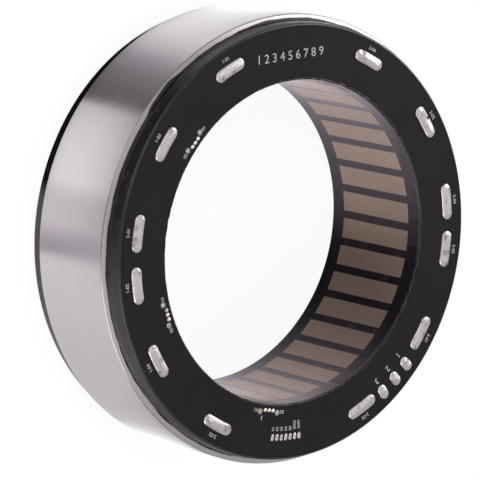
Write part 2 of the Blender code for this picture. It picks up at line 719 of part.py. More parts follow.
def solder_all(windings, finish):
    """Solder every joint on the board's face."""
    number = 0
    for winding in windings:
        for angle in winding.pad_angles:
            number += 1
            name = f"coil_solder_{number:02d}"
            size = (COIL_PAD_LENGTH, COIL_PAD_WIDTH, COIL_PAD_HEIGHT)
            solder_joint(name, COIL_PAD_RADIUS, angle, size, finish)
    for number, angle in enumerate(PHASE_PAD_ANGLES, 1):
        size = (PHASE_PAD_LENGTH, PHASE_PAD_WIDTH, PHASE_PAD_HEIGHT)
        solder_joint(f"phase_solder_{number}", PHASE_PAD_RADIUS, math.radians(angle), size, finish)
    for i in range(SIGNAL_PAD_COUNT):
        offset = (i - (SIGNAL_PAD_COUNT - 1) / 2.0) * SIGNAL_PAD_PITCH / SIGNAL_PAD_RADIUS
        angle = math.radians(SIGNAL_PAD_ANGLE) + offset
        size = (SIGNAL_PAD_WIDTH, SIGNAL_PAD_LENGTH, SIGNAL_PAD_HEIGHT)
        solder_joint(f"signal_solder_{i + 1}", SIGNAL_PAD_RADIUS, angle, size, finish, steps=1)
    for number, slot in enumerate(SENSOR_SLOTS, 1):
        for leg, place in enumerate(leg_places(slot), 1):
            angle = math.atan2(place.y, place.x)
            size = (2.0 * SENSOR_PAD_RADIUS, 2.0 * SENSOR_PAD_RADIUS, SENSOR_PAD_HEIGHT)
            solder_joint(f"hall_{number}_solder_{leg}", place.length, angle, size, finish, steps=2)


def main():
    """Build the stator."""
    clear_scene()
    steel = material("ground_steel", (0.52, 0.50, 0.52), 0.34, 1.0)
    copper = material("enamelled_copper", (0.45, 0.16, 0.06), 0.35, 0.9)
    resin = material("black_resin", (0.016, 0.015, 0.018), 0.25, 0.0)
    laminate = material("board_laminate", (0.018, 0.017, 0.018), 0.5, 0.0)
    plastic = material("insulator_plastic", (0.72, 0.68, 0.58), 0.5, 0.0)
    moulding = material("sensor_moulding", (0.03, 0.03, 0.03), 0.45, 0.0)
    ceramic = material("thermistor_ceramic", (0.12, 0.14, 0.12), 0.4, 0.0)
    tin = material("solder", (0.75, 0.73, 0.70), 0.28, 1.0)

    windings = [Winding(phase, half) for half in range(2) for phase in range(PHASE_COUNT)]
    stator_core(steel)
    end_insulator("front_end_insulator", FRONT_STACK_Z, plastic)
    end_insulator("rear_end_insulator", REAR_STACK_Z - INSULATOR_THICKNESS, plastic)
    for winding in windings:
        winding.build(copper)
    potting(windings, resin)
    circuit_board(windings, laminate)
    for number, slot in enumerate(SENSOR_SLOTS, 1):
        hall_sensor(f"hall_sensor_{number}", slot, moulding)
    thermistor(ceramic)
    solder_all(windings, tin)


main()
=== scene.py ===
"""Studio photograph of the wound and potted stator of a frameless motor.

The stator stands on its rear end, with its axis along +Z and its circuit board on top. The camera is
rolled, so that the axis lies almost level in the picture.
"""

from __future__ import annotations

import logging
import math
from collections.abc import Iterable
from dataclasses import dataclass, field
from enum import Enum

import bmesh
import bpy
from mathutils import Matrix, Vector, noise

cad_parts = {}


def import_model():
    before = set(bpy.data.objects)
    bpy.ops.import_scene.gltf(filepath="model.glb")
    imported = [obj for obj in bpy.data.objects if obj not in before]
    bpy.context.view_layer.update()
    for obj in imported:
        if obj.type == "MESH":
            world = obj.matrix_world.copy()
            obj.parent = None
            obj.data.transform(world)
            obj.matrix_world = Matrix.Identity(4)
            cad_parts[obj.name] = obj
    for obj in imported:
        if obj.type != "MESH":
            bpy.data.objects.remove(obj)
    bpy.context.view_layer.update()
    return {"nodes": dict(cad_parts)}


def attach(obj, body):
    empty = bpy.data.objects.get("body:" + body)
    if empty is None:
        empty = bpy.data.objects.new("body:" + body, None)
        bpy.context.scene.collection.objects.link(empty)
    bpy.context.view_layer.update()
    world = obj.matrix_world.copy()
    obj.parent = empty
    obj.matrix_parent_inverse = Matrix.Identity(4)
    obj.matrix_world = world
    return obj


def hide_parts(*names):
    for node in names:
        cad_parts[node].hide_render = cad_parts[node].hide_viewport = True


LOG = logging.getLogger("stator")
MM = 0.001
FULL_TURN = 2.0 * math.pi
MERGE_DISTANCE = 1e-7
SMOOTH_LIMIT = math.radians(32.0)
Point = tuple[float, float]
Span = tuple[float, float]
Place = tuple[float, float, float]
Stops = tuple[Point, ...]
Colour = tuple[float, float, float]


class Axis(Enum):
    """Height levels of the stator, in metres above its rear face."""

    REAR_STACK = 4.75 * MM
    FRONT_STACK = 30.85 * MM
    BOARD_BACK = 34.4 * MM
    BOARD_FACE = 35.6 * MM


class Slot(Enum):
    """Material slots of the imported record."""

    STEEL = "steel"
    PLASTIC = "insulator_plastic"
    COPPER = "copper_wire"
    RESIN = "resin"
    BOARD = "board"
    MOULDING = "sensor_moulding"
    CERAMIC = "ceramic"
    SOLDER = "solder"


def polar(radius: float, angle: float, height: float = 0.0) -> Vector:
    """Return the point at a radius and an angle round the axis."""
    return Vector((radius * math.cos(angle), radius * math.sin(angle), height))


def shaded(colour: Colour, share: float) -> Colour:
    """Return a colour made darker or lighter."""
    return tuple(share * part for part in colour)


class Signal:
    """A node's output, with the operators of ordinary arithmetic."""

    def __init__(self, graph: Graph, socket: bpy.types.NodeSocket) -> None:
        """Wrap a socket of a graph's node."""
        self.graph = graph
        self.socket = socket

    def join(self, operation: str, other: Signal | float, reflected: bool = False) -> Signal:
        """Combine this output with another value in one Math node.

        Args:
            operation: The Math node's operation.
            other: The second value.
            reflected: Whether the other value comes first.

        Returns:
            The Math node's output.
        """
        pair = (other, self) if reflected else (self, other)
        return self.graph.node("ShaderNodeMath", {"operation": operation}, {0: pair[0], 1: pair[1]})

    def __add__(self, other: Signal | float) -> Signal:
        """Add."""
        return self.join("ADD", other)

    def __radd__(self, other: float) -> Signal:
        """Add to a number."""
        return self.join("ADD", other, reflected=True)

    def __sub__(self, other: Signal | float) -> Signal:
        """Subtract."""
        return self.join("SUBTRACT", other)

    def __rsub__(self, other: float) -> Signal:
        """Subtract from a number."""
        return self.join("SUBTRACT", other, reflected=True)

    def __mul__(self, other: Signal | float) -> Signal:
        """Multiply."""
        return self.join("MULTIPLY", other)

    def __rmul__(self, other: float) -> Signal:
        """Multiply a number."""
        return self.join("MULTIPLY", other, reflected=True)

    def __truediv__(self, other: Signal | float) -> Signal:
        """Divide."""
        return self.join("DIVIDE", other)

    def __pow__(self, other: float) -> Signal:
        """Raise to a power."""
        return self.join("POWER", other)

    def between(self, low: float, high: float) -> Signal:
        """Map this value smoothly from low..high to 0..1, and hold it outside.

        Args:
            low: The value that gives 0.
            high: The value that gives 1.

        Returns:
            The mapped value.
        """
        settings = {"interpolation_type": "SMOOTHSTEP", "clamp": True}
        values = {"Value": self, "From Min": low, "From Max": high}
        return self.graph.node("ShaderNodeMapRange", settings, values)


@dataclass(frozen=True)
class Grain:
    """How fine, how deep and how rough a noise pattern is."""

    scale: float
    detail: float = 2.0
    roughness: float = 0.5


class Graph:
    """The node tree of a material or of the world, which ends in one shader."""

    def __init__(self, name: str, world: bool = False) -> None:
        """Start a tree.

        Args:
            name: The name of the material or the world.
            world: Whether the tree is the world's.
        """
        self.owner = (bpy.data.worlds if world else bpy.data.materials).new(name)
        self.owner.use_nodes = True
        self.tree = self.owner.node_tree
        self.shader = self.tree.nodes["Background" if world else "Principled BSDF"]

    def feed(self, socket: bpy.types.NodeSocket, source: Signal | float | tuple) -> None:
        """Link a signal to a socket, or set the socket to a fixed value.

        Args:
            socket: The socket that takes the value.
            source: The signal or the fixed value.
        """
        if isinstance(source, Signal):
            self.tree.links.new(source.socket, socket)
        else:
            socket.default_value = source

    def node(self, kind: str, settings: dict, values: dict, output: int | str = 0) -> Signal:
        """Add a node.

        Args:
            kind: The node's type.
            settings: The node's own properties, set first. "stops" holds a ramp's positions and colours.
            values: What its sockets take, by name or number.
            output: The output to return.

        Returns:
            The chosen output.
        """
        made = self.tree.nodes.new(kind)
        for key, setting in settings.items():
            if key == "stops":
                ramp = made.color_ramp
                while len(ramp.elements) < len(setting):
                    ramp.elements.new(0.5)
                for element, (position, colour) in zip(ramp.elements, setting):
                    element.position = position
                    element.color = (*colour, 1.0)
            else:
                setattr(made, key, setting)
        for key, source in values.items():
            self.feed(made.inputs[key], source)
        return Signal(self, made.outputs[output])

    def place(self) -> Signal:
        """Return the point on the object, in the object's own coordinates."""
        return self.node("ShaderNodeTexCoord", {}, {}, "Object")

    def stretched(self, scale: Place) -> Signal:
        """Return the point on the object, scaled along each axis."""
        return self.node("ShaderNodeMapping", {}, {"Vector": self.place(), "Scale": scale})

    def noise(self, vector: Signal, grain: Grain) -> Signal:
        """Return a noise value between 0 and 1, which has its middle near 0.5."""
        values = {"Scale": grain.scale, "Detail": grain.detail, "Roughness": grain.roughness}
        return self.node("ShaderNodeTexNoise", {}, {"Vector": vector, **values})

    def coordinates(self) -> tuple[Signal, Signal, Signal]:
        """Measure the point round the axis.

        Returns:
            The angle round the axis, the distance from it and the height.
        """
        point = self.place()
        x, y, z = (self.node("ShaderNodeSeparateXYZ", {}, {0: point}, axis) for axis in range(3))
        radius = (x * x + y * y) ** 0.5
        return y.join("ARCTAN2", x), radius, z

    def mix(self, factor: Signal | float, first: Colour | Signal, second: Colour | Signal) -> Signal:
        """Blend two colours."""
        pair = [colour if isinstance(colour, Signal) else (*colour, 1.0) for colour in (first, second)]
        return self.node("ShaderNodeMix", {"data_type": "RGBA"}, {0: factor, 6: pair[0], 7: pair[1]}, 2)

    def bump(self, height: Signal, distance: float, strength: float) -> None:
        """Raise the surface by a height signal, in metres at 1."""
        values = {"Height": height, "Distance": distance, "Strength": strength}
        self.set("Normal", self.node("ShaderNodeBump", {}, values))

    def set(self, name: str, source: Signal | float | tuple) -> None:
        """Give one of the shader's sockets its value."""
        self.feed(self.shader.inputs[name], source)

    def show(self, shader: Signal) -> None:
        """End a material in another shader than the Principled one."""
        self.feed(self.tree.nodes["Material Output"].inputs["Surface"], shader)


@dataclass(frozen=True)
class Finish:
    """Base of the surface finishes."""

    name: str
    colour: Colour
    roughness: float

    def material(self) -> bpy.types.Material:
        """Make a material of the finish.

        Returns:
            The material.
        """
        graph = Graph(self.name)
        graph.set("Base Color", (*self.colour, 1.0))
        graph.set("Roughness", self.roughness)
        self.dress(graph)
        return graph.owner

    def dress(self, graph: Graph) -> None:
        """Add the finish's own nodes."""


@dataclass(frozen=True)
class GroundSteel(Finish):
    """Steel ground round its outside, with the teeth's ends bare in the bore."""

    dark_share: float = 0.94
    tooth_colour: Colour = (0.38, 0.282, 0.225)
    tooth_dark_share: float = 0.9
    tooth_roughness: float = 0.36
    tooth_metal: float = 0.62
    tooth_varnish: float = 0.2
    varnish_roughness: float = 0.15
    sheet_thickness: float = 0.35 * MM
    sheet_relief: float = 0.6
    bore_limit: float = 46.0 * MM
    bore_blend: float = 1.0 * MM
    end_height: float = Axis.FRONT_STACK.value
    end_blend: Span = (0.03 * MM, 0.01 * MM)
    end_haze: float = 0.12
    end_slope: float = 1.0
    # Where the front rim's chamfer lies, and how strongly it is darkened towards black: painted shade.
    rim_radius: float = 57.2 * MM
    rim_blend: float = 0.05 * MM
    rim_height: Span = (0.5 * MM, 0.3 * MM)
    rim_dullness: float = 0.45
    # Black of the resin film, also the colour that the rim's painted shade is mixed towards.
    film_colour: Colour = (0.02, 0.018, 0.02)
    film_radius: float = 56.15 * MM
    film_blend: float = 0.08 * MM
    film_edge: Grain = Grain(150.0, 3.0)
    film_ragged: float = 0.9 * MM
    film_extra: float = 0.4 * MM
    film_wide: Stops = (
        (math.radians(-146.0), math.radians(-156.0)), (math.radians(160.0), math.radians(170.0))
    )
    film_run: Stops = (
        (math.radians(-113.0), math.radians(-117.0)), (math.radians(-129.0), math.radians(-124.0))
    )
    film_run_share: float = 2.0
    groove_pitch: float = 0.12 * MM
    groove_stretch: float = 30.0
    groove_depth: float = 0.004 * MM
    groove_haze: float = 0.06
    groove_grain: Grain = Grain(1.0, 3.0, 0.6)
    groove_limits: Span = (0.3, 0.7)
    patch_haze: float = 0.04
    tooth_patch_haze: float = 0.08
    patch_grain: Grain = Grain(60.0, 3.0)
    patch_limits: Span = (0.35, 0.65)
    relief: float = 0.35
    brushing: float = 0.55
    brushing_turn: float = 0.25

    def dress(self, graph: Graph) -> None:
        """Grind the outside, show the edges of the laminations in the bore, and paint a dark line of shade on
        the front rim's chamfer.

        Args:
            graph: The material's node tree.
        """
        angle, radius, height = graph.coordinates()
        outside = radius.between(self.bore_limit, self.bore_limit + self.bore_blend)
        stretch = (self.groove_stretch, self.groove_stretch, 1.0 / self.groove_pitch)
        grooves = graph.noise(graph.stretched(stretch), self.groove_grain)
        patches = graph.noise(graph.place(), self.patch_grain)
        layers = (height / self.sheet_thickness).join("PINGPONG", 1.0)
        dark = shaded(self.colour, self.dark_share)
        bright = graph.mix(grooves.between(*self.groove_limits), dark, self.colour)
        dark_tooth = shaded(self.tooth_colour, self.tooth_dark_share)
        tooth = graph.mix(patches.between(*self.patch_limits), dark_tooth, self.tooth_colour)
        end = height.between(self.end_height - self.end_blend[0], self.end_height - self.end_blend[1])
        film = end * self.film(graph, angle, radius)
        # Painted shade: the chamfer at the front rim is mixed towards black, a dark line where it reflects
        # the dark side of the room.
        near_end = height.between(self.end_height - self.rim_height[0], self.end_height - self.rim_height[1])
        rim = near_end * (1.0 - end) * radius.between(self.rim_radius, self.rim_radius + self.rim_blend)
        rim_shaded = graph.mix(self.rim_dullness * rim, bright, self.film_colour)
        graph.set("Base Color", graph.mix(film, graph.mix(outside, tooth, rim_shaded), self.film_colour))
        ground = self.roughness + self.groove_haze * grooves + self.patch_haze * patches
        bare = self.tooth_roughness + self.tooth_patch_haze * patches
        graph.set("Roughness", outside * (ground + self.end_haze * end) + (1.0 - outside) * bare)
        graph.set("Metallic", (1.0 - (1.0 - self.tooth_metal) * (1.0 - outside)) * (1.0 - film))
        graph.set("Coat Weight", self.tooth_varnish * (1.0 - outside))
        graph.set("Coat Roughness", self.varnish_roughness)
        graph.set("Anisotropic", self.brushing)
        graph.set("Anisotropic Rotation", self.brushing_turn)
        relief = outside * grooves + (1.0 - outside) * (layers * self.sheet_relief + patches)
        worn = end * (radius * (-self.end_slope / self.groove_depth))
        graph.bump(relief + worn, self.groove_depth, self.relief)

    def film(self, graph: Graph, angle: Signal, radius: Signal) -> Signal:
        """Find the ragged film of resin that covers the inner part of the core's end.

        Args:
            graph: The material's node tree.
            angle: The angle round the axis.
            radius: The distance from the axis.

        Returns:
            A mask that is 1 under the film.
        """
        ragged = graph.noise(graph.place(), self.film_edge) - 0.5
        wide = angle.between(*self.film_wide[0]) + angle.between(*self.film_wide[1])
        run = angle.between(*self.film_run[0]) * angle.between(*self.film_run[1])
        edge = radius - self.film_ragged * ragged - self.film_extra * (wide + self.film_run_share * run)
        return edge.between(self.film_radius + self.film_blend, self.film_radius - self.film_blend)


@dataclass(frozen=True)
class CastResin(Finish):
    """Glossy black casting resin, a little wavy where it set against nothing."""

    haze: Colour = (0.03, 0.026, 0.03)
    gloss: float = 0.55
    gloss_tint: tuple[float, ...] = (1.0, 0.93, 0.98, 1.0)
    wave: float = 0.02 * MM
    wave_grain: Grain = Grain(90.0)
    wave_haze: float = 0.05
    peel_grain: Grain = Grain(900.0)
    peel_relief: float = 0.06
    dust_grain: Grain = Grain(260.0, 4.0, 0.7)
    dust_limits: Span = (0.52, 0.75)
    dust_haze: float = 0.12
    lip_radius: float = 41.9 * MM
    lip_blend: float = 0.2 * MM
    lip_height: float = Axis.BOARD_FACE.value - 0.7 * MM
    lip_rise: float = 0.3 * MM
    lip_grain: Grain = Grain(1100.0, 3.0, 0.6)
    lip_relief: float = 14.0
    relief: float = 0.6

    def dress(self, graph: Graph) -> None:
        """Add slow waves, fine orange peel, faint dust and the ragged lip round the bore.

        Args:
            graph: The material's node tree.
        """
        _, radius, height = graph.coordinates()
        place = graph.place()
        lip = radius.between(self.lip_radius, self.lip_radius - self.lip_blend)
        lip = lip * height.between(self.lip_height, self.lip_height + self.lip_rise)
        ragged = graph.noise(place, self.lip_grain)
        slow = graph.noise(place, self.wave_grain)
        fine = graph.noise(place, self.peel_grain)
        dust = graph.noise(place, self.dust_grain).between(*self.dust_limits)
        graph.set("Base Color", graph.mix(dust, self.colour, self.haze))
        graph.set("Roughness", self.roughness + self.dust_haze * dust + self.wave_haze * slow)
        graph.set("Specular IOR Level", self.gloss)
        graph.set("Specular Tint", self.gloss_tint)
        graph.bump(slow + self.peel_relief * fine + self.lip_relief * lip * ragged, self.wave, self.relief)


@dataclass(frozen=True)
class SolderMask(Finish):
    """Black solder mask, with the weave of the glass cloth just showing in its gloss."""

    edge_colour: Colour = (0.02, 0.017, 0.02)
    light_share: float = 1.3
    gloss: float = 0.18
    face_blend: Span = (0.1 * MM, 0.05 * MM)
    weave_pitch: float = 0.45 * MM
    weave_turns: float = 0.314
    copper_width: float = 3.4 * MM
    copper_edge: Span = (0.10, 0.13)
    patch_grain: Grain = Grain(70.0, 3.0)
    patch_limits: Span = (0.35, 0.7)
    patch_haze: float = 0.06
    heights: Place = (0.3, 0.05, 0.1)
    depth: float = 0.01 * MM
    relief: float = 0.4

    def dress(self, graph: Graph) -> None:
        """Weave the mask, let the copper rings under it stand out a little, and bare the routed edge.

        Args:
            graph: The material's node tree.
        """
        _, radius, height = graph.coordinates()
        place = graph.place()
        values = {"Vector": place, "Scale": self.weave_turns / self.weave_pitch, "Distortion": 1.0}
        weave = [
            graph.node("ShaderNodeTexWave", {"wave_type": "BANDS", "bands_direction": way}, values, "Fac")
            for way in ("X", "Y")
        ]
        patches = graph.noise(place, self.patch_grain)
        rings = (radius / self.copper_width).join("PINGPONG", 0.5).between(*self.copper_edge)
        top = Axis.BOARD_FACE.value
        face = height.between(top - self.face_blend[0], top - self.face_blend[1])
        lighter = shaded(self.colour, self.light_share)
        mask = graph.mix(patches.between(*self.patch_limits), self.colour, lighter)
        graph.set("Base Color", graph.mix(face, self.edge_colour, mask))
        graph.set("Roughness", self.roughness + self.patch_haze * patches)
        graph.set("Specular IOR Level", self.gloss)
        copper, cloth, uneven = self.heights
        relief = copper * rings + cloth * (weave[0] + weave[1]) + uneven * patches
        graph.bump(relief, self.depth, self.relief)


@dataclass(frozen=True)
class Silkscreen(Finish):
    """White legend ink, a little thin in places."""

    thin_grain: Grain = Grain(2200.0)
    thin_limits: Span = (0.4, 0.7)
    thin_share: float = 0.6
    depth: float = 0.01 * MM
    relief: float = 0.3

    def dress(self, graph: Graph) -> None:
        """Let the ink vary in thickness.

        Args:
            graph: The material's node tree.
        """
        thin = graph.noise(graph.place(), self.thin_grain).between(*self.thin_limits)
        graph.set("Base Color", graph.mix(thin, self.colour, shaded(self.colour, self.thin_share)))
        graph.bump(thin, self.depth, self.relief)


@dataclass(frozen=True)
class Solder(Finish):
    """Frozen solder: bright, with grain, wrinkles and a little dull flux."""

    flux: Colour = (0.30, 0.27, 0.25)
    flux_grain: Grain = Grain(420.0, 3.0)
    flux_limits: Span = (0.5, 0.72)
    flux_dullness: float = 0.35
    flux_haze: float = 0.22
    wrinkle_grain: Grain = Grain(1500.0, 4.0, 0.65)
    wrinkle_haze: float = 0.1
    wrinkle_depth: float = 0.05 * MM
    relief: float = 0.5
    # Near-black colour that the one dented pit is given.
    burnt: Colour = (0.02, 0.017, 0.015)
    pit_place: Point = (51.55 * MM, math.radians(138.8))
    pit_height: float = Axis.BOARD_FACE.value + 0.4 * MM
    pit_radius: float = 0.42 * MM
    pit_blend: float = 1.25

    def dress(self, graph: Graph) -> None:
        """Wrinkle and stain the surface, and make the one pit near black and not metallic.

        Args:
            graph: The material's node tree.
        """
        place = graph.place()
        grain = graph.noise(place, self.wrinkle_grain)
        stain = graph.noise(place, self.flux_grain).between(*self.flux_limits)
        spot = tuple(polar(*self.pit_place, self.pit_height))
        away = graph.node("ShaderNodeVectorMath", {"operation": "DISTANCE"}, {0: place, 1: spot}, "Value")
        # The one pit is made near black and not metallic.
        pit = away.between(self.pit_blend * self.pit_radius, self.pit_radius)
        graph.set("Base Color", graph.mix(pit, graph.mix(stain, self.colour, self.flux), self.burnt))
        graph.set("Metallic", (1.0 - self.flux_dullness * stain) * (1.0 - pit))
        graph.set("Roughness", self.roughness + self.flux_haze * stain + self.wrinkle_haze * grain)
        graph.bump(grain, self.wrinkle_depth, self.relief)


@dataclass(frozen=True)
class EnamelledWire(Finish):
    """Copper wire under clear enamel, its turns lying side by side."""

    dark_share: float = 0.6
    metal: float = 0.9
    enamel: float = 0.6
    turn_pitch: float = 0.6 * MM
    turn_depth: float = 0.1 * MM
    level_share: float = 0.2
    tone_grain: Grain = Grain(300.0)
    tone_limits: Span = (0.3, 0.7)
    relief: float = 0.7

    def dress(self, graph: Graph) -> None:
        """Groove the coils along their turns and coat them.

        Args:
            graph: The material's node tree.
        """
        _, radius, height = graph.coordinates()
        turns = (radius / self.turn_pitch).join("PINGPONG", 0.5) * 2.0
        levels = (height / self.turn_pitch).join("PINGPONG", 0.5)
        tone = graph.noise(graph.place(), self.tone_grain).between(*self.tone_limits)
        graph.set("Base Color", graph.mix(tone, shaded(self.colour, self.dark_share), self.colour))
        graph.set("Metallic", self.metal)
        graph.set("Coat Weight", self.enamel)
        graph.bump(turns + self.level_share * levels, self.turn_depth, self.relief)


@dataclass(frozen=True)
class Moulding(Finish):
    """Moulded plastic or fired ceramic, with a fine even grain."""

    grain: Grain = Grain(1.0 / (0.3 * MM))
    grain_haze: float = 0.08
    grain_depth: float = 0.01 * MM
    tone_grain: Grain = Grain(120.0)
    pale_share: float = 1.15
    relief: float = 0.4

    def dress(self, graph: Graph) -> None:
        """Add the grain and a faint change of tone.

        Args:
            graph: The material's node tree.
        """
        grain = graph.noise(graph.place(), self.grain)
        tone = graph.noise(graph.place(), self.tone_grain)
        graph.set("Base Color", graph.mix(tone, self.colour, shaded(self.colour, self.pale_share)))
        graph.set("Roughness", self.roughness + self.grain_haze * grain)
        graph.bump(grain, self.grain_depth, self.relief)


def solid(
    name: str, bm: bmesh.types.BMesh, finish: bpy.types.Material, slot: Slot, *nodes: str
) -> bpy.types.Object:
    """Turn a bmesh into a finished piece of the stator.

    Args:
        name: The piece's name.
        bm: Its shape, in the stator's frame. It is freed.
        finish: Its material.
        slot: The record's material slot that it belongs to; not used.
        nodes: The solids of the frame that it stands for.

    Returns:
        The new object.
    """
    bmesh.ops.remove_doubles(bm, verts=bm.verts, dist=MERGE_DISTANCE)
    bmesh.ops.recalc_face_normals(bm, faces=bm.faces)
    mesh = bpy.data.meshes.new(name)
    bm.to_mesh(mesh)
    bm.free()
    mesh.shade_smooth()
    mesh.set_sharp_from_angle(angle=SMOOTH_LIMIT)
    mesh.materials.append(finish)
    made = bpy.data.objects.new(name, mesh)
    bpy.context.scene.collection.objects.link(made)
    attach(made, "root")
    if nodes:
        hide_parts(*nodes)
    LOG.info("%s: %d faces", name, len(mesh.polygons))
    return made


def chain(bm: bmesh.types.BMesh, points: Iterable[Vector], closed: bool = False) -> list[bmesh.types.BMEdge]:
    """Add a line of edges through some points.

    Args:
        bm: The mesh that takes the shape.
        points: The points, in order.
        closed: Whether the line returns to its start.

    Returns:
        The edges.
    """
    verts = [bm.verts.new(point) for point in points]
    first = 0 if closed else 1
    return [bm.edges.new((verts[i - 1], verts[i])) for i in range(first, len(verts))]


def verts_of(edges: Iterable[bmesh.types.BMEdge]) -> list[bmesh.types.BMVert]:
    """Return the vertices of some edges, each once."""
    return list({vert: None for edge in edges for vert in edge.verts})


def turn_profile(bm: bmesh.types.BMesh, profile: Iterable[Point], steps: int) -> None:
    """Spin a closed profile into a full ring.

    Args:
        bm: The mesh that takes the shape.
        profile: The section's points, each a radius and a height.
        steps: The number of steps round the ring.
    """
    edges = chain(bm, [Vector((radius, 0.0, height)) for radius, height in profile], closed=True)
    geom = verts_of(edges) + edges
    bmesh.ops.spin(
        bm, geom=geom, axis=(0, 0, 1), cent=(0, 0, 0), angle=FULL_TURN, steps=steps, use_merge=True
    )


def quarter(centre: Point, radius: float, start: float, steps: int = 5) -> list[Point]:
    """Return a quarter circle of profile points, from the start angle in degrees."""
    turns = [math.radians(start + 90.0 * i / steps) for i in range(steps + 1)]
    return [(centre[0] + radius * math.cos(turn), centre[1] + radius * math.sin(turn)) for turn in turns]


def flat_ring(bm: bmesh.types.BMesh, radii: Iterable[float], segments: int, centre: Matrix) -> None:
    """Add a flat ring between two circles.

    Args:
        bm: The mesh that takes the shape.
        radii: The two circles' radii.
        segments: The number of steps round the ring.
        centre: The place of its middle.
    """
    loops = []
    for radius in radii:
        made = bmesh.ops.create_circle(bm, segments=segments, radius=radius, matrix=centre)["verts"]
        loops += list({edge: None for vert in made for edge in vert.link_edges})
    bmesh.ops.bridge_loops(bm, edges=loops)


def extrude(bm: bmesh.types.BMesh, faces: list[bmesh.types.BMFace], height: float) -> None:
    """Grow a closed solid upwards from flat faces.

    Args:
        bm: The mesh that takes the shape.
        faces: The flat faces.
        height: The height of the solid.
    """
    grown = bmesh.ops.extrude_face_region(bm, geom=faces)["geom"]
    moved = [item for item in grown if isinstance(item, bmesh.types.BMVert)]
    bmesh.ops.translate(bm, verts=moved, vec=(0.0, 0.0, height))


@dataclass
class Core:
    """Laminated ring with its teeth, which the rotor faces."""

    outer_radius: float = 57.5 * MM
    bore_radius: float = 41.3 * MM
    slot_bottom: float = 53.4 * MM
    slots: int = 36
    first_slot: float = math.radians(4.27)
    tooth_width: float = 3.0 * MM
    tip_width: float = 5.15 * MM
    tip_thickness: float = 0.9 * MM
    tip_taper: float = 1.2 * MM
    chamfer: float = 0.22 * MM
    rim_limit: float = math.radians(45.0)
    seam: float = 1e-6
    face_steps: int = 3
    segments: int = 360
    pitch: float = field(init=False)

    def __post_init__(self) -> None:
        """Work out the angle between slots."""
        self.pitch = FULL_TURN / self.slots

    def tooth_outline(self) -> list[Vector]:
        """Outline one tooth and half of each slot's floor, centred on +X.

        Returns:
            The outline's points, in order.
        """
        half_tip = math.asin(self.tip_width / 2.0 / self.bore_radius)
        flank = self.tooth_width / 2.0
        taper_end = self.bore_radius + self.tip_thickness + self.tip_taper
        root = math.sqrt(self.slot_bottom**2 - flank**2)
        side = [
            polar(self.slot_bottom, self.pitch / 2.0),
            Vector((root, flank, 0.0)),
            Vector((taper_end, flank, 0.0)),
            Vector((self.bore_radius + self.tip_thickness, self.tip_width / 2.0, 0.0)),
        ]
        steps = self.face_steps
        face = [polar(self.bore_radius, half_tip * (steps - i) / steps) for i in range(2 * steps + 1)]
        return side + face + [Vector((point.x, -point.y, 0.0)) for point in reversed(side)]

    def build(self, finish: bpy.types.Material) -> bpy.types.Object:
        """Build the core in place of its solid.

        Args:
            finish: Its material.

        Returns:
            The finished piece.
        """
        bm = bmesh.new()
        tooth = chain(bm, self.tooth_outline())
        turn = Matrix.Rotation(self.first_slot + self.pitch / 2.0, 3, "Z")
        bmesh.ops.rotate(bm, verts=verts_of(tooth), cent=(0, 0, 0), matrix=turn)
        geom = verts_of(tooth) + tooth
        bmesh.ops.spin(
            bm, geom=geom, axis=(0, 0, 1), cent=(0, 0, 0), angle=FULL_TURN, steps=self.slots,
            use_duplicate=True,
        )
        bmesh.ops.remove_doubles(bm, verts=bm.verts, dist=self.seam)
        bmesh.ops.create_circle(bm, segments=self.segments, radius=self.outer_radius)
        filled = bmesh.ops.triangle_fill(bm, use_beauty=True, edges=bm.edges)["geom"]
        extrude(bm, [item for item in filled if isinstance(item, bmesh.types.BMFace)], self.length())
        rims = [edge for edge in bm.edges if self.is_rim(edge)]
        bmesh.ops.bevel(
            bm, geom=rims, offset=self.chamfer, segments=1, profile=0.5, affect="EDGES", material=-1
        )
        bmesh.ops.translate(bm, verts=bm.verts, vec=(0.0, 0.0, Axis.REAR_STACK.value))
        return solid("ground_core", bm, finish, Slot.STEEL, "stator_core")

    def length(self) -> float:
        """Return the length of the stack."""
        return Axis.FRONT_STACK.value - Axis.REAR_STACK.value

    def is_rim(self, edge: bmesh.types.BMEdge) -> bool:
        """Tell whether an edge lies on the sharp circle at an end of the outside."""
        outside = all(vert.co.xy.length > self.outer_radius - self.chamfer for vert in edge.verts)
        return outside and edge.calc_face_angle(0.0) > self.rim_limit


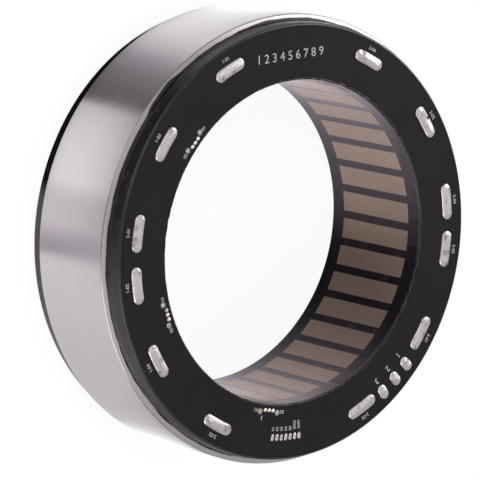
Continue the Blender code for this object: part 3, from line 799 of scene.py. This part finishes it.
@dataclass
class Casting:
    """Resin rings at both ends, joined by the fills between the teeth."""

    core: Core
    radius: float = 56.0 * MM
    draft: float = 0.3 * MM
    bore: float = 41.33 * MM
    recess: float = 55.0 * MM
    recess_bore: float = 41.8 * MM
    rim_round: float = 0.5 * MM
    lip_round: float = 0.3 * MM
    rear_round: float = 0.8 * MM
    rear_chamfer: float = 0.35 * MM
    pocket: Point = (43.8 * MM, 54.3 * MM)
    pocket_depth: float = 3.1 * MM
    fill_depth: float = 2.6 * MM
    fill_reach: float = 0.2 * MM
    fill_taper: float = 0.95
    fill_steps: int = 2
    ripple: float = 0.24 * MM
    ripple_scale: float = 420.0
    fine_scale: float = 1300.0
    fine_share: float = 0.5
    lip_margin: float = 0.01 * MM
    ripple_swell: float = 0.3
    ripple_inwards: float = 0.8
    segments: int = 432

    def build(self, finish: bpy.types.Material) -> bpy.types.Object:
        """Build the casting in place of its solid.

        Args:
            finish: Its material.

        Returns:
            The finished piece.
        """
        bm = bmesh.new()
        turn_profile(bm, self.rear_profile(), self.segments)
        turn_profile(bm, self.front_profile(), self.segments)
        bmesh.ops.recalc_face_normals(bm, faces=bm.faces)
        self.roughen_lip(bm)
        self.add_fills(bm)
        return solid("cast_resin", bm, finish, Slot.RESIN, "potting")

    def rear_profile(self) -> list[Point]:
        """Draw the section of the rear ring, with its pocket for the coils' ends.

        Returns:
            The section's points, each a radius and a height.
        """
        top = Axis.REAR_STACK.value
        floor = top - self.pocket_depth
        edge = self.rear_round
        inner = self.rear_chamfer
        return (
            [(self.bore, top), (self.bore, inner), (self.bore + inner, 0.0)]
            + quarter((self.radius - edge, edge), edge, -90.0)
            + [(self.radius, top), (self.pocket[1], top), (self.pocket[1], floor)]
            + [(self.pocket[0], floor), (self.pocket[0], top)]
        )

    def front_profile(self) -> list[Point]:
        """Draw the section of the front ring, with the board's recess and the coils' pocket.

        Returns:
            The section's points, each a radius and a height.
        """
        low = Axis.FRONT_STACK.value
        face = Axis.BOARD_FACE.value
        back = Axis.BOARD_BACK.value
        ceiling = low + self.pocket_depth
        outer = self.radius - self.draft
        return (
            [(self.radius, low)]
            + quarter((outer - self.rim_round, face - self.rim_round), self.rim_round, 0.0)
            + [(self.recess, face), (self.recess, back), (self.recess_bore, back), (self.recess_bore, face)]
            + quarter((self.bore + self.lip_round, face - self.lip_round), self.lip_round, 90.0)
            + [(self.bore, low), (self.pocket[0], low), (self.pocket[0], ceiling)]
            + [(self.pocket[1], ceiling), (self.pocket[1], low)]
        )

    def roughen_lip(self, bm: bmesh.types.BMesh) -> None:
        """Make the lip round the bore uneven, as resin sets where it creeps over a mould's edge.

        Args:
            bm: The casting's mesh.
        """
        face = Axis.BOARD_FACE.value
        for vert in bm.verts:
            reach = vert.co.xy.length
            if vert.co.z > face - 2.0 * self.lip_round and reach < self.recess_bore + self.lip_margin:
                fine = noise.noise(vert.co * self.fine_scale)
                swell = noise.noise(vert.co * self.ripple_scale) + self.fine_share * fine
                vert.co.z += self.ripple * min(self.ripple_swell, swell)
                scale = 1.0 + self.ripple * self.ripple_inwards * max(0.0, swell) / reach
                vert.co.xy = vert.co.xy * scale

    def add_fills(self, bm: bmesh.types.BMesh) -> None:
        """Fill the mouth of every slot, flush with the bore.

        Args:
            bm: The casting's mesh.
        """
        core = self.core
        half_tip = math.asin(core.tip_width / 2.0 / core.bore_radius)
        half = core.pitch / 2.0 - half_tip
        low = Axis.REAR_STACK.value - self.fill_reach
        deep = self.bore + self.fill_depth
        for index in range(core.slots):
            angle = core.first_slot + index * core.pitch
            turns = [half * (i - self.fill_steps) / self.fill_steps for i in range(2 * self.fill_steps + 1)]
            front = [polar(self.bore, angle + turn, low) for turn in turns]
            back = [polar(deep, angle + side * half * self.fill_taper, low) for side in (1, -1)]
            face = bm.faces.new([bm.verts.new(point) for point in front + back])
            extrude(bm, [face], core.length() + 2.0 * self.fill_reach)


@dataclass
class Board:
    """Ring-shaped circuit board."""

    inner: float = 41.84 * MM
    outer: float = 54.94 * MM
    edge: float = 0.06 * MM
    segments: int = 360

    def build(self, finish: bpy.types.Material) -> bpy.types.Object:
        """Build the board in place of its solid.

        Args:
            finish: Its material.

        Returns:
            The finished piece.
        """
        bm = bmesh.new()
        low = Axis.BOARD_BACK.value
        high = Axis.BOARD_FACE.value
        step = high - self.edge
        profile = [(self.inner, low), (self.outer, low), (self.outer, step)]
        profile += [(self.outer - self.edge, high), (self.inner + self.edge, high), (self.inner, step)]
        turn_profile(bm, profile, self.segments)
        return solid("sensor_board", bm, finish, Slot.BOARD, "circuit_board")


@dataclass
class Blob:
    """One solder joint: where it lies, how large it is and how it froze."""

    name: str
    radius: float
    angle: float
    length: float
    width: float
    height: float
    seed: float
    node: str
    plump: float = 0.55
    around: int = 36
    upwards: int = 20
    split: float = 0.02
    lump_scale: float = 900.0
    seed_step: Place = (7.3, 3.1, 0.0)
    swelling: float = 0.16
    fine_scale: float = 2.7
    fine_share: float = 0.5
    wander: float = 0.05
    wander_scale: float = 0.9
    wander_seed: Place = (0.0, 0.0, 9.0)
    pit: float = 0.0
    pit_place: Point = (0.5 * MM, 0.9 * MM)
    pit_depth: float = 0.85

    def build(self, finish: bpy.types.Material) -> bpy.types.Object:
        """Build the joint as half of a stretched ball, bent along its circle.

        Args:
            finish: Its material.

        Returns:
            The finished piece.
        """
        bm = bmesh.new()
        small = min(self.length, self.width) / 2.0
        reach = (self.length / 2.0 - small, self.width / 2.0 - small)
        bmesh.ops.create_uvsphere(bm, u_segments=self.around, v_segments=self.upwards, radius=1.0)
        cut = verts_of(bm.edges) + list(bm.edges) + list(bm.faces)
        bmesh.ops.bisect_plane(bm, geom=cut, plane_co=(0, 0, 0), plane_no=(0, 0, 1), clear_inner=True)
        rim = [edge for edge in bm.edges if edge.is_boundary]
        bmesh.ops.edgeloop_fill(bm, edges=rim)
        if max(reach) > 0.0:
            self.add_length(bm, reach)
        for vert in bm.verts:
            vert.co = self.place(vert.co, small, reach)
        return solid(self.name, bm, finish, Slot.SOLDER, self.node)

    def add_length(self, bm: bmesh.types.BMesh, reach: Point) -> None:
        """Cut the ball across its middle, so that its halves can be drawn apart in steps.

        Args:
            bm: The joint's mesh.
            reach: How far its halves are drawn apart along and across.
        """
        across = Vector((1, 0, 0)) if reach[0] > reach[1] else Vector((0, 1, 0))
        for step in (-1.0, -0.5, 0.0, 0.5, 1.0):
            geom = list(bm.verts) + list(bm.edges) + list(bm.faces)
            cut = across * (step * self.split)
            bmesh.ops.bisect_plane(bm, geom=geom, plane_co=cut, plane_no=across, dist=1e-6)

    def place(self, point: Vector, small: float, reach: Point) -> Vector:
        """Place a point of the half ball on the board.

        Args:
            point: A point of the half ball.
            small: Half of the joint's lesser size.
            reach: How far the halves are drawn apart along and across.

        Returns:
            The point's place on the board.
        """
        stretch = [max(-1.0, min(1.0, part / self.split)) for part in (point.x, point.y)]
        along = point.x * small + stretch[0] * reach[0]
        across = point.y * small + stretch[1] * reach[1]
        rise = max(0.0, point.z) ** self.plump * self.height
        shift = Vector([self.seed * part for part in self.seed_step])
        seat = Vector((along, across, 0.0)) * self.lump_scale + shift
        swell = noise.noise(seat) + self.fine_share * noise.noise(seat * self.fine_scale)
        edge = self.wander * small * noise.noise(seat * self.wander_scale + Vector(self.wander_seed))
        outwards = Vector((point.x, point.y, 0.0)) * edge
        along += outwards.x
        across += outwards.y
        if rise > 0.0:
            rise *= 1.0 + self.swelling * swell
        if self.pit > 0.0:
            gap = math.hypot(along - self.pit_place[0], across - self.pit_place[1])
            rise *= 1.0 - self.pit_depth * math.exp(-((gap / self.pit) ** 2))
        turn = self.angle + along / self.radius
        return polar(self.radius + across, turn, Axis.BOARD_FACE.value + rise)


@dataclass
class Soldering:
    """Every solder joint on the board's face."""

    coil_radius: float = 50.4 * MM
    coil_angles: tuple[float, ...] = (
        -139.1, -68.1, -109.3, -44.5, -82.9, -14.2, 41.6, 112.0, 71.5, 138.2, 97.8, 168.2
    )
    coil_size: Place = (9.5 * MM, 3.1 * MM, 0.6 * MM)
    phase_radius: float = 51.3 * MM
    phase_angles: tuple[float, ...] = (61.5, 55.9, 50.3)
    phase_size: Place = (2.8 * MM, 4.2 * MM, 0.55 * MM)
    signals: int = 7
    signal_radius: float = 49.9 * MM
    signal_angle: float = 12.15
    signal_pitch: float = 1.45 * MM
    signal_size: Place = (0.95 * MM, 1.8 * MM, 0.3 * MM)
    sensor_radius: float = 42.95 * MM
    sensor_angles: tuple[float, ...] = (4.27, -55.73, -115.73)
    sensor_size: Place = (1.04 * MM, 1.04 * MM, 0.35 * MM)
    leg_pitch: float = 1.27 * MM
    pitted: int = 10
    pit_radius: float = 0.45 * MM

    def joints(self) -> list[Blob]:
        """List the joints, each with a seed of its own, so that no two froze alike.

        Returns:
            The joints of the coils, the phases, the signals and the sensors.
        """
        made = []
        for number, angle in enumerate(self.coil_angles, 1):
            name = f"coil_joint_{number:02d}"
            node = f"coil_solder_{number:02d}"
            seed = number * 1.7
            pit = self.pit_radius if number == self.pitted else 0.0
            turn = math.radians(angle)
            made.append(Blob(name, self.coil_radius, turn, *self.coil_size, seed, node, pit=pit))
        for number, angle in enumerate(self.phase_angles, 1):
            name = f"phase_joint_{number}"
            node = f"phase_solder_{number}"
            seed = number * 2.3 + 40.0
            made.append(Blob(name, self.phase_radius, math.radians(angle), *self.phase_size, seed, node))
        middle = (self.signals + 1) / 2.0
        for number in range(1, self.signals + 1):
            name = f"signal_joint_{number}"
            node = f"signal_solder_{number}"
            seed = number * 1.3 + 80.0
            aside = (number - middle) * self.signal_pitch / self.signal_radius
            turn = math.radians(self.signal_angle) + aside
            made.append(Blob(name, self.signal_radius, turn, *self.signal_size, seed, node))
        for number, centre in enumerate(self.sensor_angles, 1):
            for leg in (1, 2, 3):
                name = f"hall_{number}_joint_{leg}"
                node = f"hall_{number}_solder_{leg}"
                seed = number * 5.0 + leg
                aside = (leg - 2) * self.leg_pitch
                radius = math.hypot(self.sensor_radius, aside)
                turn = math.radians(centre) + math.atan2(aside, self.sensor_radius)
                made.append(Blob(name, radius, turn, *self.sensor_size, seed, node))
        return made

    def build(self, finish: bpy.types.Material, leg_finish: bpy.types.Material) -> None:
        """Solder every joint, the sensors' legs on their gilt pads."""
        for joint in self.joints():
            joint.build(leg_finish if joint.name.startswith("hall") else finish)


@dataclass(frozen=True)
class Lettering:
    """One kind of number on the board: where it stands and its height as a share of the usual one."""

    radius: float
    share: float


@dataclass
class Legend:
    """White numbers and marks printed on the board."""

    soldering: Soldering
    size: float = 1.25 * MM
    ink: float = 0.02 * MM
    full_height: float = 1.35
    stroke: float = 0.02 * MM
    coil_numbers: Lettering = Lettering(53.25 * MM, 0.8)
    coils_in_phase: int = 4
    phase_numbers: Lettering = Lettering(47.6 * MM, 1.4)
    signal_radius: float = 48.4 * MM
    signal_share: float = 0.68
    digit_room: float = 0.35 * MM
    short_signals: int = 5
    sensor_numbers: Lettering = Lettering(43.3 * MM, 0.75)
    sensor_aside: float = 5.7
    board_number: Lettering = Lettering(47.7 * MM, 1.9)
    board_number_angle: float = -161.7
    ring_radius: float = 43.5 * MM
    ring_aside: float = 3.7
    ring_size: float = 0.7 * MM
    ring_opening: float = 0.68
    ring_segments: int = 24
    bar_radius: float = 45.1 * MM
    bar_angle: float = 1.7
    bar_size: Point = (1.1 * MM, 0.3 * MM)

    def build(self, finish: bpy.types.Material) -> bpy.types.Object:
        """Print the legend as one thin piece.

        Args:
            finish: Its material.

        Returns:
            The finished piece.
        """
        bm = bmesh.new()
        self.print_joint_numbers(bm)
        for centre in self.soldering.sensor_angles:
            for side, words in ((-1.0, "01"), (1.0, "02")):
                turn = math.radians(centre + side * self.ring_aside)
                ring = Matrix.Translation(polar(self.ring_radius, turn))
                flat_ring(bm, (self.ring_size, self.ring_opening * self.ring_size), self.ring_segments, ring)
                self.print_number(bm, words, self.sensor_numbers, centre + side * self.sensor_aside)
        self.print_number(bm, "1 2 3 4 5 6 7 8 9", self.board_number, self.board_number_angle)
        bar = self.seat(self.bar_radius, self.bar_angle) @ Matrix.Diagonal((*self.bar_size, 1.0, 1.0))
        bmesh.ops.create_grid(bm, x_segments=1, y_segments=1, size=0.5, matrix=bar)
        for face in bm.faces:
            face.normal_update()
        extrude(bm, list(bm.faces), self.ink)
        bmesh.ops.translate(bm, verts=bm.verts, vec=(0.0, 0.0, Axis.BOARD_FACE.value))
        return solid("board_legend", bm, finish, Slot.BOARD)

    def print_joint_numbers(self, bm: bmesh.types.BMesh) -> None:
        """Number the joints of the coils, the phases and the signals.

        Args:
            bm: The legend's mesh.
        """
        work = self.soldering
        for number, angle in enumerate(work.coil_angles):
            phase, coil = divmod(number, self.coils_in_phase)
            self.print_number(bm, f"{phase + 1}-0{coil + 1}", self.coil_numbers, angle)
        for number, angle in enumerate(work.phase_angles, 1):
            self.print_number(bm, str(number), self.phase_numbers, angle)
        middle = (work.signals - 1) / 2.0
        for number in range(work.signals):
            aside = (number - middle) * work.signal_pitch / work.signal_radius
            angle = work.signal_angle + math.degrees(aside)
            digits = 2 if number < self.short_signals else 4
            place = Lettering(self.signal_radius - self.digit_room * digits, self.signal_share)
            self.print_number(bm, f"{number + 1:0{digits}d}", place, angle, upright=True)

    @staticmethod
    def seat(radius: float, angle: float) -> Matrix:
        """Return the place at a radius and an angle in degrees, turned to face outwards."""
        return Matrix.Rotation(math.radians(angle), 4, "Z") @ Matrix.Translation((radius, 0.0, 0.0))

    def print_number(
        self, bm: bmesh.types.BMesh, words: str, kind: Lettering, angle: float, upright: bool = False
    ) -> None:
        """Print a plain number.

        Args:
            bm: The legend's mesh.
            words: The digits.
            kind: Its distance from the axis and its height.
            angle: Its direction in degrees.
            upright: Whether it reads along the radius instead of round the circle.
        """
        curve = bpy.data.curves.new("digits", "FONT")
        curve.body = words
        curve.size = kind.share * self.size * self.full_height
        curve.align_x = "CENTER"
        curve.align_y = "CENTER"
        curve.resolution_u = 3
        curve.offset = self.stroke
        writer = bpy.data.objects.new("digits", curve)
        mesh = bpy.data.meshes.new_from_object(writer)
        quarter_turn = math.pi if upright else -math.pi / 2.0
        mesh.transform(self.seat(kind.radius, angle) @ Matrix.Rotation(quarter_turn, 4, "Z"))
        bm.from_mesh(mesh)
        bpy.data.objects.remove(writer)
        bpy.data.curves.remove(curve)
        bpy.data.meshes.remove(mesh)


@dataclass
class TestPoint:
    """A small bare pad with a domed dot, beside each hall sensor."""

    radius: float = 43.5 * MM
    offset: float = 3.7
    size: float = 0.36 * MM
    height: float = 0.12 * MM

    def build(self, centres: Iterable[float], finish: bpy.types.Material) -> bpy.types.Object:
        """Build all the test points as one piece.

        Args:
            centres: The sensors' directions in degrees.
            finish: Its material.

        Returns:
            The finished piece.
        """
        bm = bmesh.new()
        for centre in centres:
            for side in (-1.0, 1.0):
                place = polar(self.radius, math.radians(centre + side * self.offset), Axis.BOARD_FACE.value)
                matrix = Matrix.Translation(place) @ Matrix.Diagonal((self.size, self.size, self.height, 1.0))
                bmesh.ops.create_icosphere(bm, subdivisions=2, radius=1.0, matrix=matrix)
        return solid("test_points", bm, finish, Slot.SOLDER)


@dataclass(frozen=True)
class Overhead:
    """A round glowing card overhead, which the worn edge of the core's end reflects."""

    name: str
    place: Place
    radius: float
    tone: float
    segments: int = 48


@dataclass
class Reflectors:
    """Glowing cards on the table that only reflections see, each shining in its own tones, laid as a
    photographer lays cards round a metal ring.

    Beside the stator each card is a fan, whose spokes follow the way that the outside reflects the table
    to a camera in front of the stator. A spoke has one tone for the steel and one for the front casting.
    """

    foot: float = 57.5 * MM
    rows: tuple[float, ...] = (-2.0 * MM, 2.6 * MM, 3.4 * MM, 26.3 * MM, 27.3 * MM, 62.0 * MM)
    foot_tones: Stops = ((-179.0, 0.0), (-92.0, 0.0), (-87.0, 0.8), (-1.0, 0.9))
    sweep: Span = (-179.0, -1.0)
    spokes: int = 178
    lift: float = 0.1 * MM
    depth: float = 1.0
    far_radius: float = 2.0
    far_segments: int = 64
    overheads: tuple[Overhead, ...] = (
        Overhead("ceiling_card", (0.0, 0.25, 1.5), 0.6, 0.78),
        Overhead("black_flag", (-0.5, 0.52, 1.45), 0.3, 0.03),
    )
    tint: Colour = (1.04, 0.95, 1.03)
    bright_cast: float = 0.6
    steel_tones: Stops = (
        (-179.0, 3.2), (-172.0, 2.7), (-166.0, 1.75), (-160.0, 1.55), (-154.0, 1.25), (-148.0, 1.15),
        (-142.0, 1.07), (-136.0, 0.82), (-130.0, 0.42), (-124.0, 0.24), (-117.0, 0.15), (-114.5, 0.2),
        (-113.5, 0.83), (-106.0, 1.06), (-100.0, 1.14), (-93.0, 1.2), (-88.5, 0.86), (-82.0, 0.86),
        (-78.0, 0.55), (-74.5, 0.42), (-73.5, 0.95), (-64.0, 0.88), (-52.0, 0.8), (-34.0, 0.75),
        (-22.0, 0.8), (-16.0, 1.45), (-8.0, 2.0),
    )
    wall_tones: Stops = (
        (-175.0, 0.01), (-165.0, 0.02), (-155.0, 0.3), (-145.0, 0.6), (-135.0, 0.75), (-125.0, 0.25),
        (-115.0, 0.03), (-95.0, 0.06), (-85.0, 0.15), (-75.0, 0.6), (-65.0, 0.85), (-45.0, 0.75),
        (-35.0, 0.4), (-25.0, 0.2), (-8.0, 0.1),
    )
    bore_tones: Stops = (
        (0.0, 1.5), (20.0, 1.15), (34.0, 0.92), (44.0, 0.6), (54.0, 0.33), (64.0, 0.14), (72.0, 0.05),
        (90.0, 0.04), (96.0, 0.1), (104.0, 0.4), (114.0, 0.7), (130.0, 0.9), (150.0, 1.02), (164.0, 1.4),
        (180.0, 1.8),
    )

    def build(self) -> list[bpy.types.Object]:
        """Lay the cards.

        Returns:
            The cards.
        """
        cards = [self.fan("front_card", self.lift, False), self.fan("back_card", 0.5 * self.lift, True)]
        cards += [self.overhead(card) for card in self.overheads]
        return [*cards, self.disc()]

    def stops(self, row: int) -> Stops:
        """Return the tones of a fan's row: two rows each for the table, the steel and the casting."""
        return (self.foot_tones, self.steel_tones, self.wall_tones)[row // 2]

    @staticmethod
    def tone(stops: Stops, place: float) -> float:
        """Find the tone between the two stops on either side of a place.

        Args:
            stops: The places and their tones, in order.
            place: A place.

        Returns:
            The tone.
        """
        before = after = None
        for stop in stops:
            if stop[0] <= place or before is None:
                before = stop
            if stop[0] >= place and after is None:
                after = stop
        after = after or before
        width = after[0] - before[0]
        share = (place - before[0]) / width if width > 0.0 else 0.0
        return before[1] + (after[1] - before[1]) * share

    def fan(self, name: str, height: float, mirrored: bool) -> bpy.types.Object:
        """Return one fan-shaped card beside the stator.

        Args:
            name: The card's name.
            height: Its height over the rear face.
            mirrored: Whether it lies behind the stator.

        Returns:
            The card.
        """
        bm = bmesh.new()
        last = len(self.rows) - 1
        bmesh.ops.create_grid(bm, x_segments=self.spokes, y_segments=last, size=1.0)
        shades = bm.verts.layers.float_color.new("tone")
        for vert in bm.verts:
            angle = self.sweep[0] + (self.sweep[1] - self.sweep[0]) * (vert.co.x + 1.0) / 2.0
            row = round((vert.co.y + 1.0) * last / 2.0)
            shade = self.tone(self.stops(row), angle)
            cast = max(-self.bright_cast, 1.0 - shade)
            vert[shades] = (*(shade * (1.0 + cast * (part - 1.0)) for part in self.tint), 1.0)
            turn = math.radians(angle)
            outwards = Vector((-math.sin(2.0 * turn), math.cos(2.0 * turn), 0.0))
            vert.co = polar(self.foot, turn, height) + outwards * self.rows[row]
            if mirrored:
                vert.co.y = -vert.co.y
        graph = Graph(name)
        colour = graph.node("ShaderNodeAttribute", {"attribute_name": "tone"}, {}, "Color")
        return self.hide(studio_piece(bm, name, self.glow(graph, colour)))

    def disc(self) -> bpy.types.Object:
        """Lay the card far below the table, which the bore reflects by direction alone.

        Returns:
            The card.
        """
        graph = Graph("bore_card")
        angle, _, _ = graph.coordinates()
        wall = (angle / FULL_TURN + 0.75).join("FRACT", 0.0)
        stops = [(place / 180.0, shaded(self.tint, shade)) for place, shade in self.bore_tones]
        colour = graph.node("ShaderNodeValToRGB", {"stops": stops}, {0: wall})
        bm = bmesh.new()
        bmesh.ops.create_circle(bm, cap_ends=True, segments=self.far_segments, radius=self.far_radius)
        bmesh.ops.translate(bm, verts=bm.verts, vec=(0.0, 0.0, -self.depth))
        return self.hide(studio_piece(bm, "bore_card", self.glow(graph, colour)))

    def overhead(self, card: Overhead) -> bpy.types.Object:
        """Hang a round card overhead.

        Args:
            card: The card's name, place, radius and tone.

        Returns:
            The card.
        """
        bm = bmesh.new()
        bmesh.ops.create_circle(bm, cap_ends=True, segments=card.segments, radius=card.radius)
        bmesh.ops.translate(bm, verts=bm.verts, vec=card.place)
        finish = self.glow(Graph(card.name), (*shaded(self.tint, card.tone), 1.0))
        return self.hide(studio_piece(bm, card.name, finish))

    def glow(self, graph: Graph, colour: Signal | tuple) -> bpy.types.Material:
        """Let a card shine in its own tones.

        Args:
            graph: The node tree of the card's material.
            colour: The card's colour.

        Returns:
            The material.
        """
        graph.show(graph.node("ShaderNodeEmission", {}, {"Color": colour, "Strength": 1.0}))
        return graph.owner

    def hide(self, card: bpy.types.Object) -> bpy.types.Object:
        """Leave a card to reflections alone.

        Args:
            card: The card.

        Returns:
            The same card.
        """
        card.visible_camera = False
        card.visible_diffuse = False
        card.visible_shadow = False
        card.visible_transmission = False
        return card


def studio_piece(bm: bmesh.types.BMesh, name: str, finish: bpy.types.Material) -> bpy.types.Object:
    """Put a piece of the studio into the scene.

    Args:
        bm: Its shape. It is freed.
        name: The piece's name.
        finish: Its material.

    Returns:
        The new object.
    """
    mesh = bpy.data.meshes.new(name)
    bm.to_mesh(mesh)
    bm.free()
    mesh.materials.append(finish)
    made = bpy.data.objects.new(name, mesh)
    bpy.context.scene.collection.objects.link(made)
    return made


@dataclass(frozen=True)
class Lamp:
    """A soft square lamp."""

    name: str
    place: Place
    size: float
    power: float


@dataclass
class Studio:
    """White table, reflector cards, soft lamps and the camera."""

    table_radius: float = 3.0
    table_segments: int = 96
    bore_floor: float = 43.0 * MM
    lens: float = 301.6
    sensor: float = 36.0
    aim: Place = (0.0024, -0.0182, 0.0356)
    distance: float = 1.003
    azimuth: float = -0.216
    elevation: float = 50.67
    roll: float = 102.63
    room_light: float = 0.5
    table_shade: float = 0.9
    table_roughness: float = 0.7
    table_drop: float = 0.2 * MM
    table_glow: float = 1.06
    glow_share: float = 0.85
    lamps: tuple[Lamp, ...] = (
        Lamp("top_side", (-0.78, 0.95, 0.92), 1.0, 8.0),
        Lamp("low_side", (1.0, -0.65, 0.85), 1.0, 8.0),
        Lamp("front", (-0.5, -1.0, 1.4), 0.9, 3.5),
    )

    def build(self) -> None:
        """Set up the whole studio."""
        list(self.table())
        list(Reflectors().build())
        self.world()
        for lamp in self.lamps:
            self.hang(lamp)
        self.camera()

    def table(self) -> list[bpy.types.Object]:
        """Lay the white table, which shows the stator's shadow, in two pieces.

        The round piece inside the bore is left out of reflections, so that the bore shows the far card.

        Returns:
            The table and the piece inside the bore.
        """
        around = bmesh.new()
        flat_ring(around, (self.bore_floor, self.table_radius), self.table_segments, Matrix.Identity(4))
        inside = bmesh.new()
        bmesh.ops.create_circle(inside, cap_ends=True, segments=self.table_segments, radius=self.bore_floor)
        finish = self.table_finish()
        pieces = []
        for name, bm in (("table", around), ("bore_floor", inside)):
            bmesh.ops.translate(bm, verts=bm.verts, vec=(0.0, 0.0, -self.table_drop))
            pieces.append(studio_piece(bm, name, finish))
        pieces[1].visible_glossy = False
        return pieces

    def table_finish(self) -> bpy.types.Material:
        """Make the table white to the camera and in reflections, and leave it its shadows.

        Returns:
            The material.
        """
        graph = Graph("white_table")
        graph.set("Base Color", (self.table_shade, self.table_shade, self.table_shade, 1.0))
        graph.set("Roughness", self.table_roughness)
        graph.set("Specular IOR Level", 0.0)
        names = ("Is Camera Ray", "Is Glossy Ray", "Is Transmission Ray")
        rays = [graph.node("ShaderNodeLightPath", {}, {}, name) for name in names]
        seen = rays[0].join("MAXIMUM", rays[1]).join("MAXIMUM", rays[2])
        white = {"Color": (1.0, 1.0, 1.0, 1.0), "Strength": self.table_glow}
        glow = graph.node("ShaderNodeEmission", {}, white)
        lit = Signal(graph, graph.shader.outputs[0])
        graph.show(graph.node("ShaderNodeMixShader", {}, {0: self.glow_share * seen, 1: lit, 2: glow}))
        return graph.owner

    def world(self) -> None:
        """Fill the room with even light, and show it white to the camera."""
        graph = Graph("studio", world=True)
        seen = graph.node("ShaderNodeLightPath", {}, {}, "Is Camera Ray")
        strength = {"Value": seen, "To Min": self.room_light, "To Max": 1.0}
        graph.set("Strength", graph.node("ShaderNodeMapRange", {}, strength))
        graph.set("Color", (1.0, 1.0, 1.0, 1.0))
        bpy.context.scene.world = graph.owner

    def hang(self, lamp: Lamp) -> None:
        """Hang a soft lamp that faces the stator.

        Args:
            lamp: The lamp's name, place, size and power.
        """
        light = bpy.data.lights.new(lamp.name, "AREA")
        light.energy = lamp.power
        light.size = lamp.size
        made = bpy.data.objects.new(lamp.name, light)
        made.location = lamp.place
        made.rotation_euler = (Vector(self.aim) - Vector(lamp.place)).to_track_quat("-Z", "Y").to_euler()
        bpy.context.scene.collection.objects.link(made)

    def camera(self) -> None:
        """Aim the camera, rolled so that the motor's axis lies almost level."""
        azimuth = math.radians(self.azimuth)
        elevation = math.radians(self.elevation)
        level = math.cos(elevation)
        back = Vector((math.sin(azimuth) * level, -math.cos(azimuth) * level, math.sin(elevation)))
        data = bpy.data.cameras.new("camera")
        data.lens = self.lens
        data.sensor_width = self.sensor
        made = bpy.data.objects.new("camera", data)
        roll = Matrix.Rotation(math.radians(self.roll), 3, "Z").to_quaternion()
        turn = (back.to_track_quat("Z", "Y") @ roll).to_matrix().to_4x4()
        made.matrix_world = Matrix.Translation(Vector(self.aim) + back * self.distance) @ turn
        bpy.context.scene.collection.objects.link(made)
        bpy.context.scene.camera = made
        bpy.context.scene.view_settings.view_transform = "Standard"


def dress_hidden_parts(nodes: dict[str, bpy.types.Object]) -> None:
    """Give the solids inside the casting their materials.

    Args:
        nodes: The frame's solids by name.
    """
    finishes: dict[str, Finish] = {
        "winding": EnamelledWire("enamelled_copper", (0.55, 0.20, 0.08), 0.32),
        "insulator": Moulding("natural_nylon", (0.70, 0.66, 0.56), 0.5),
        "hall_sensor": Moulding("sensor_epoxy", (0.03, 0.03, 0.03), 0.45),
        "thermistor": Moulding("chip_ceramic", (0.12, 0.14, 0.12), 0.4),
    }
    for key, finish in finishes.items():
        material = finish.material()
        for name, piece in nodes.items():
            if key in name:
                for place in piece.material_slots:
                    place.material = material
                LOG.info("dressed %s", name)


def main() -> None:
    """Build the stator and its studio."""
    logging.basicConfig(level=logging.INFO, format="%(message)s")
    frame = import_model()
    steel = GroundSteel("ground_steel", (0.655, 0.61, 0.645), 0.24)
    resin = CastResin("cast_black_resin", (0.011, 0.009, 0.0105), 0.16)
    mask = SolderMask("black_solder_mask", (0.0085, 0.0065, 0.008), 0.42)
    ink = Silkscreen("white_legend_ink", (0.50, 0.48, 0.49), 0.55)
    tin = Solder("frozen_solder", (0.72, 0.67, 0.665), 0.26)
    gilt = Solder("gilt_leg_solder", (0.95, 0.88, 0.76), 0.36)

    core = Core()
    core.build(steel.material())
    Casting(core).build(resin.material())
    Board().build(mask.material())
    soldering = Soldering()
    tin_material = tin.material()
    soldering.build(tin_material, gilt.material())
    TestPoint().build(soldering.sensor_angles, tin_material)
    Legend(soldering).build(ink.material())
    dress_hidden_parts(frame["nodes"])
    Studio().build()


if __name__ == "__main__":
    main()
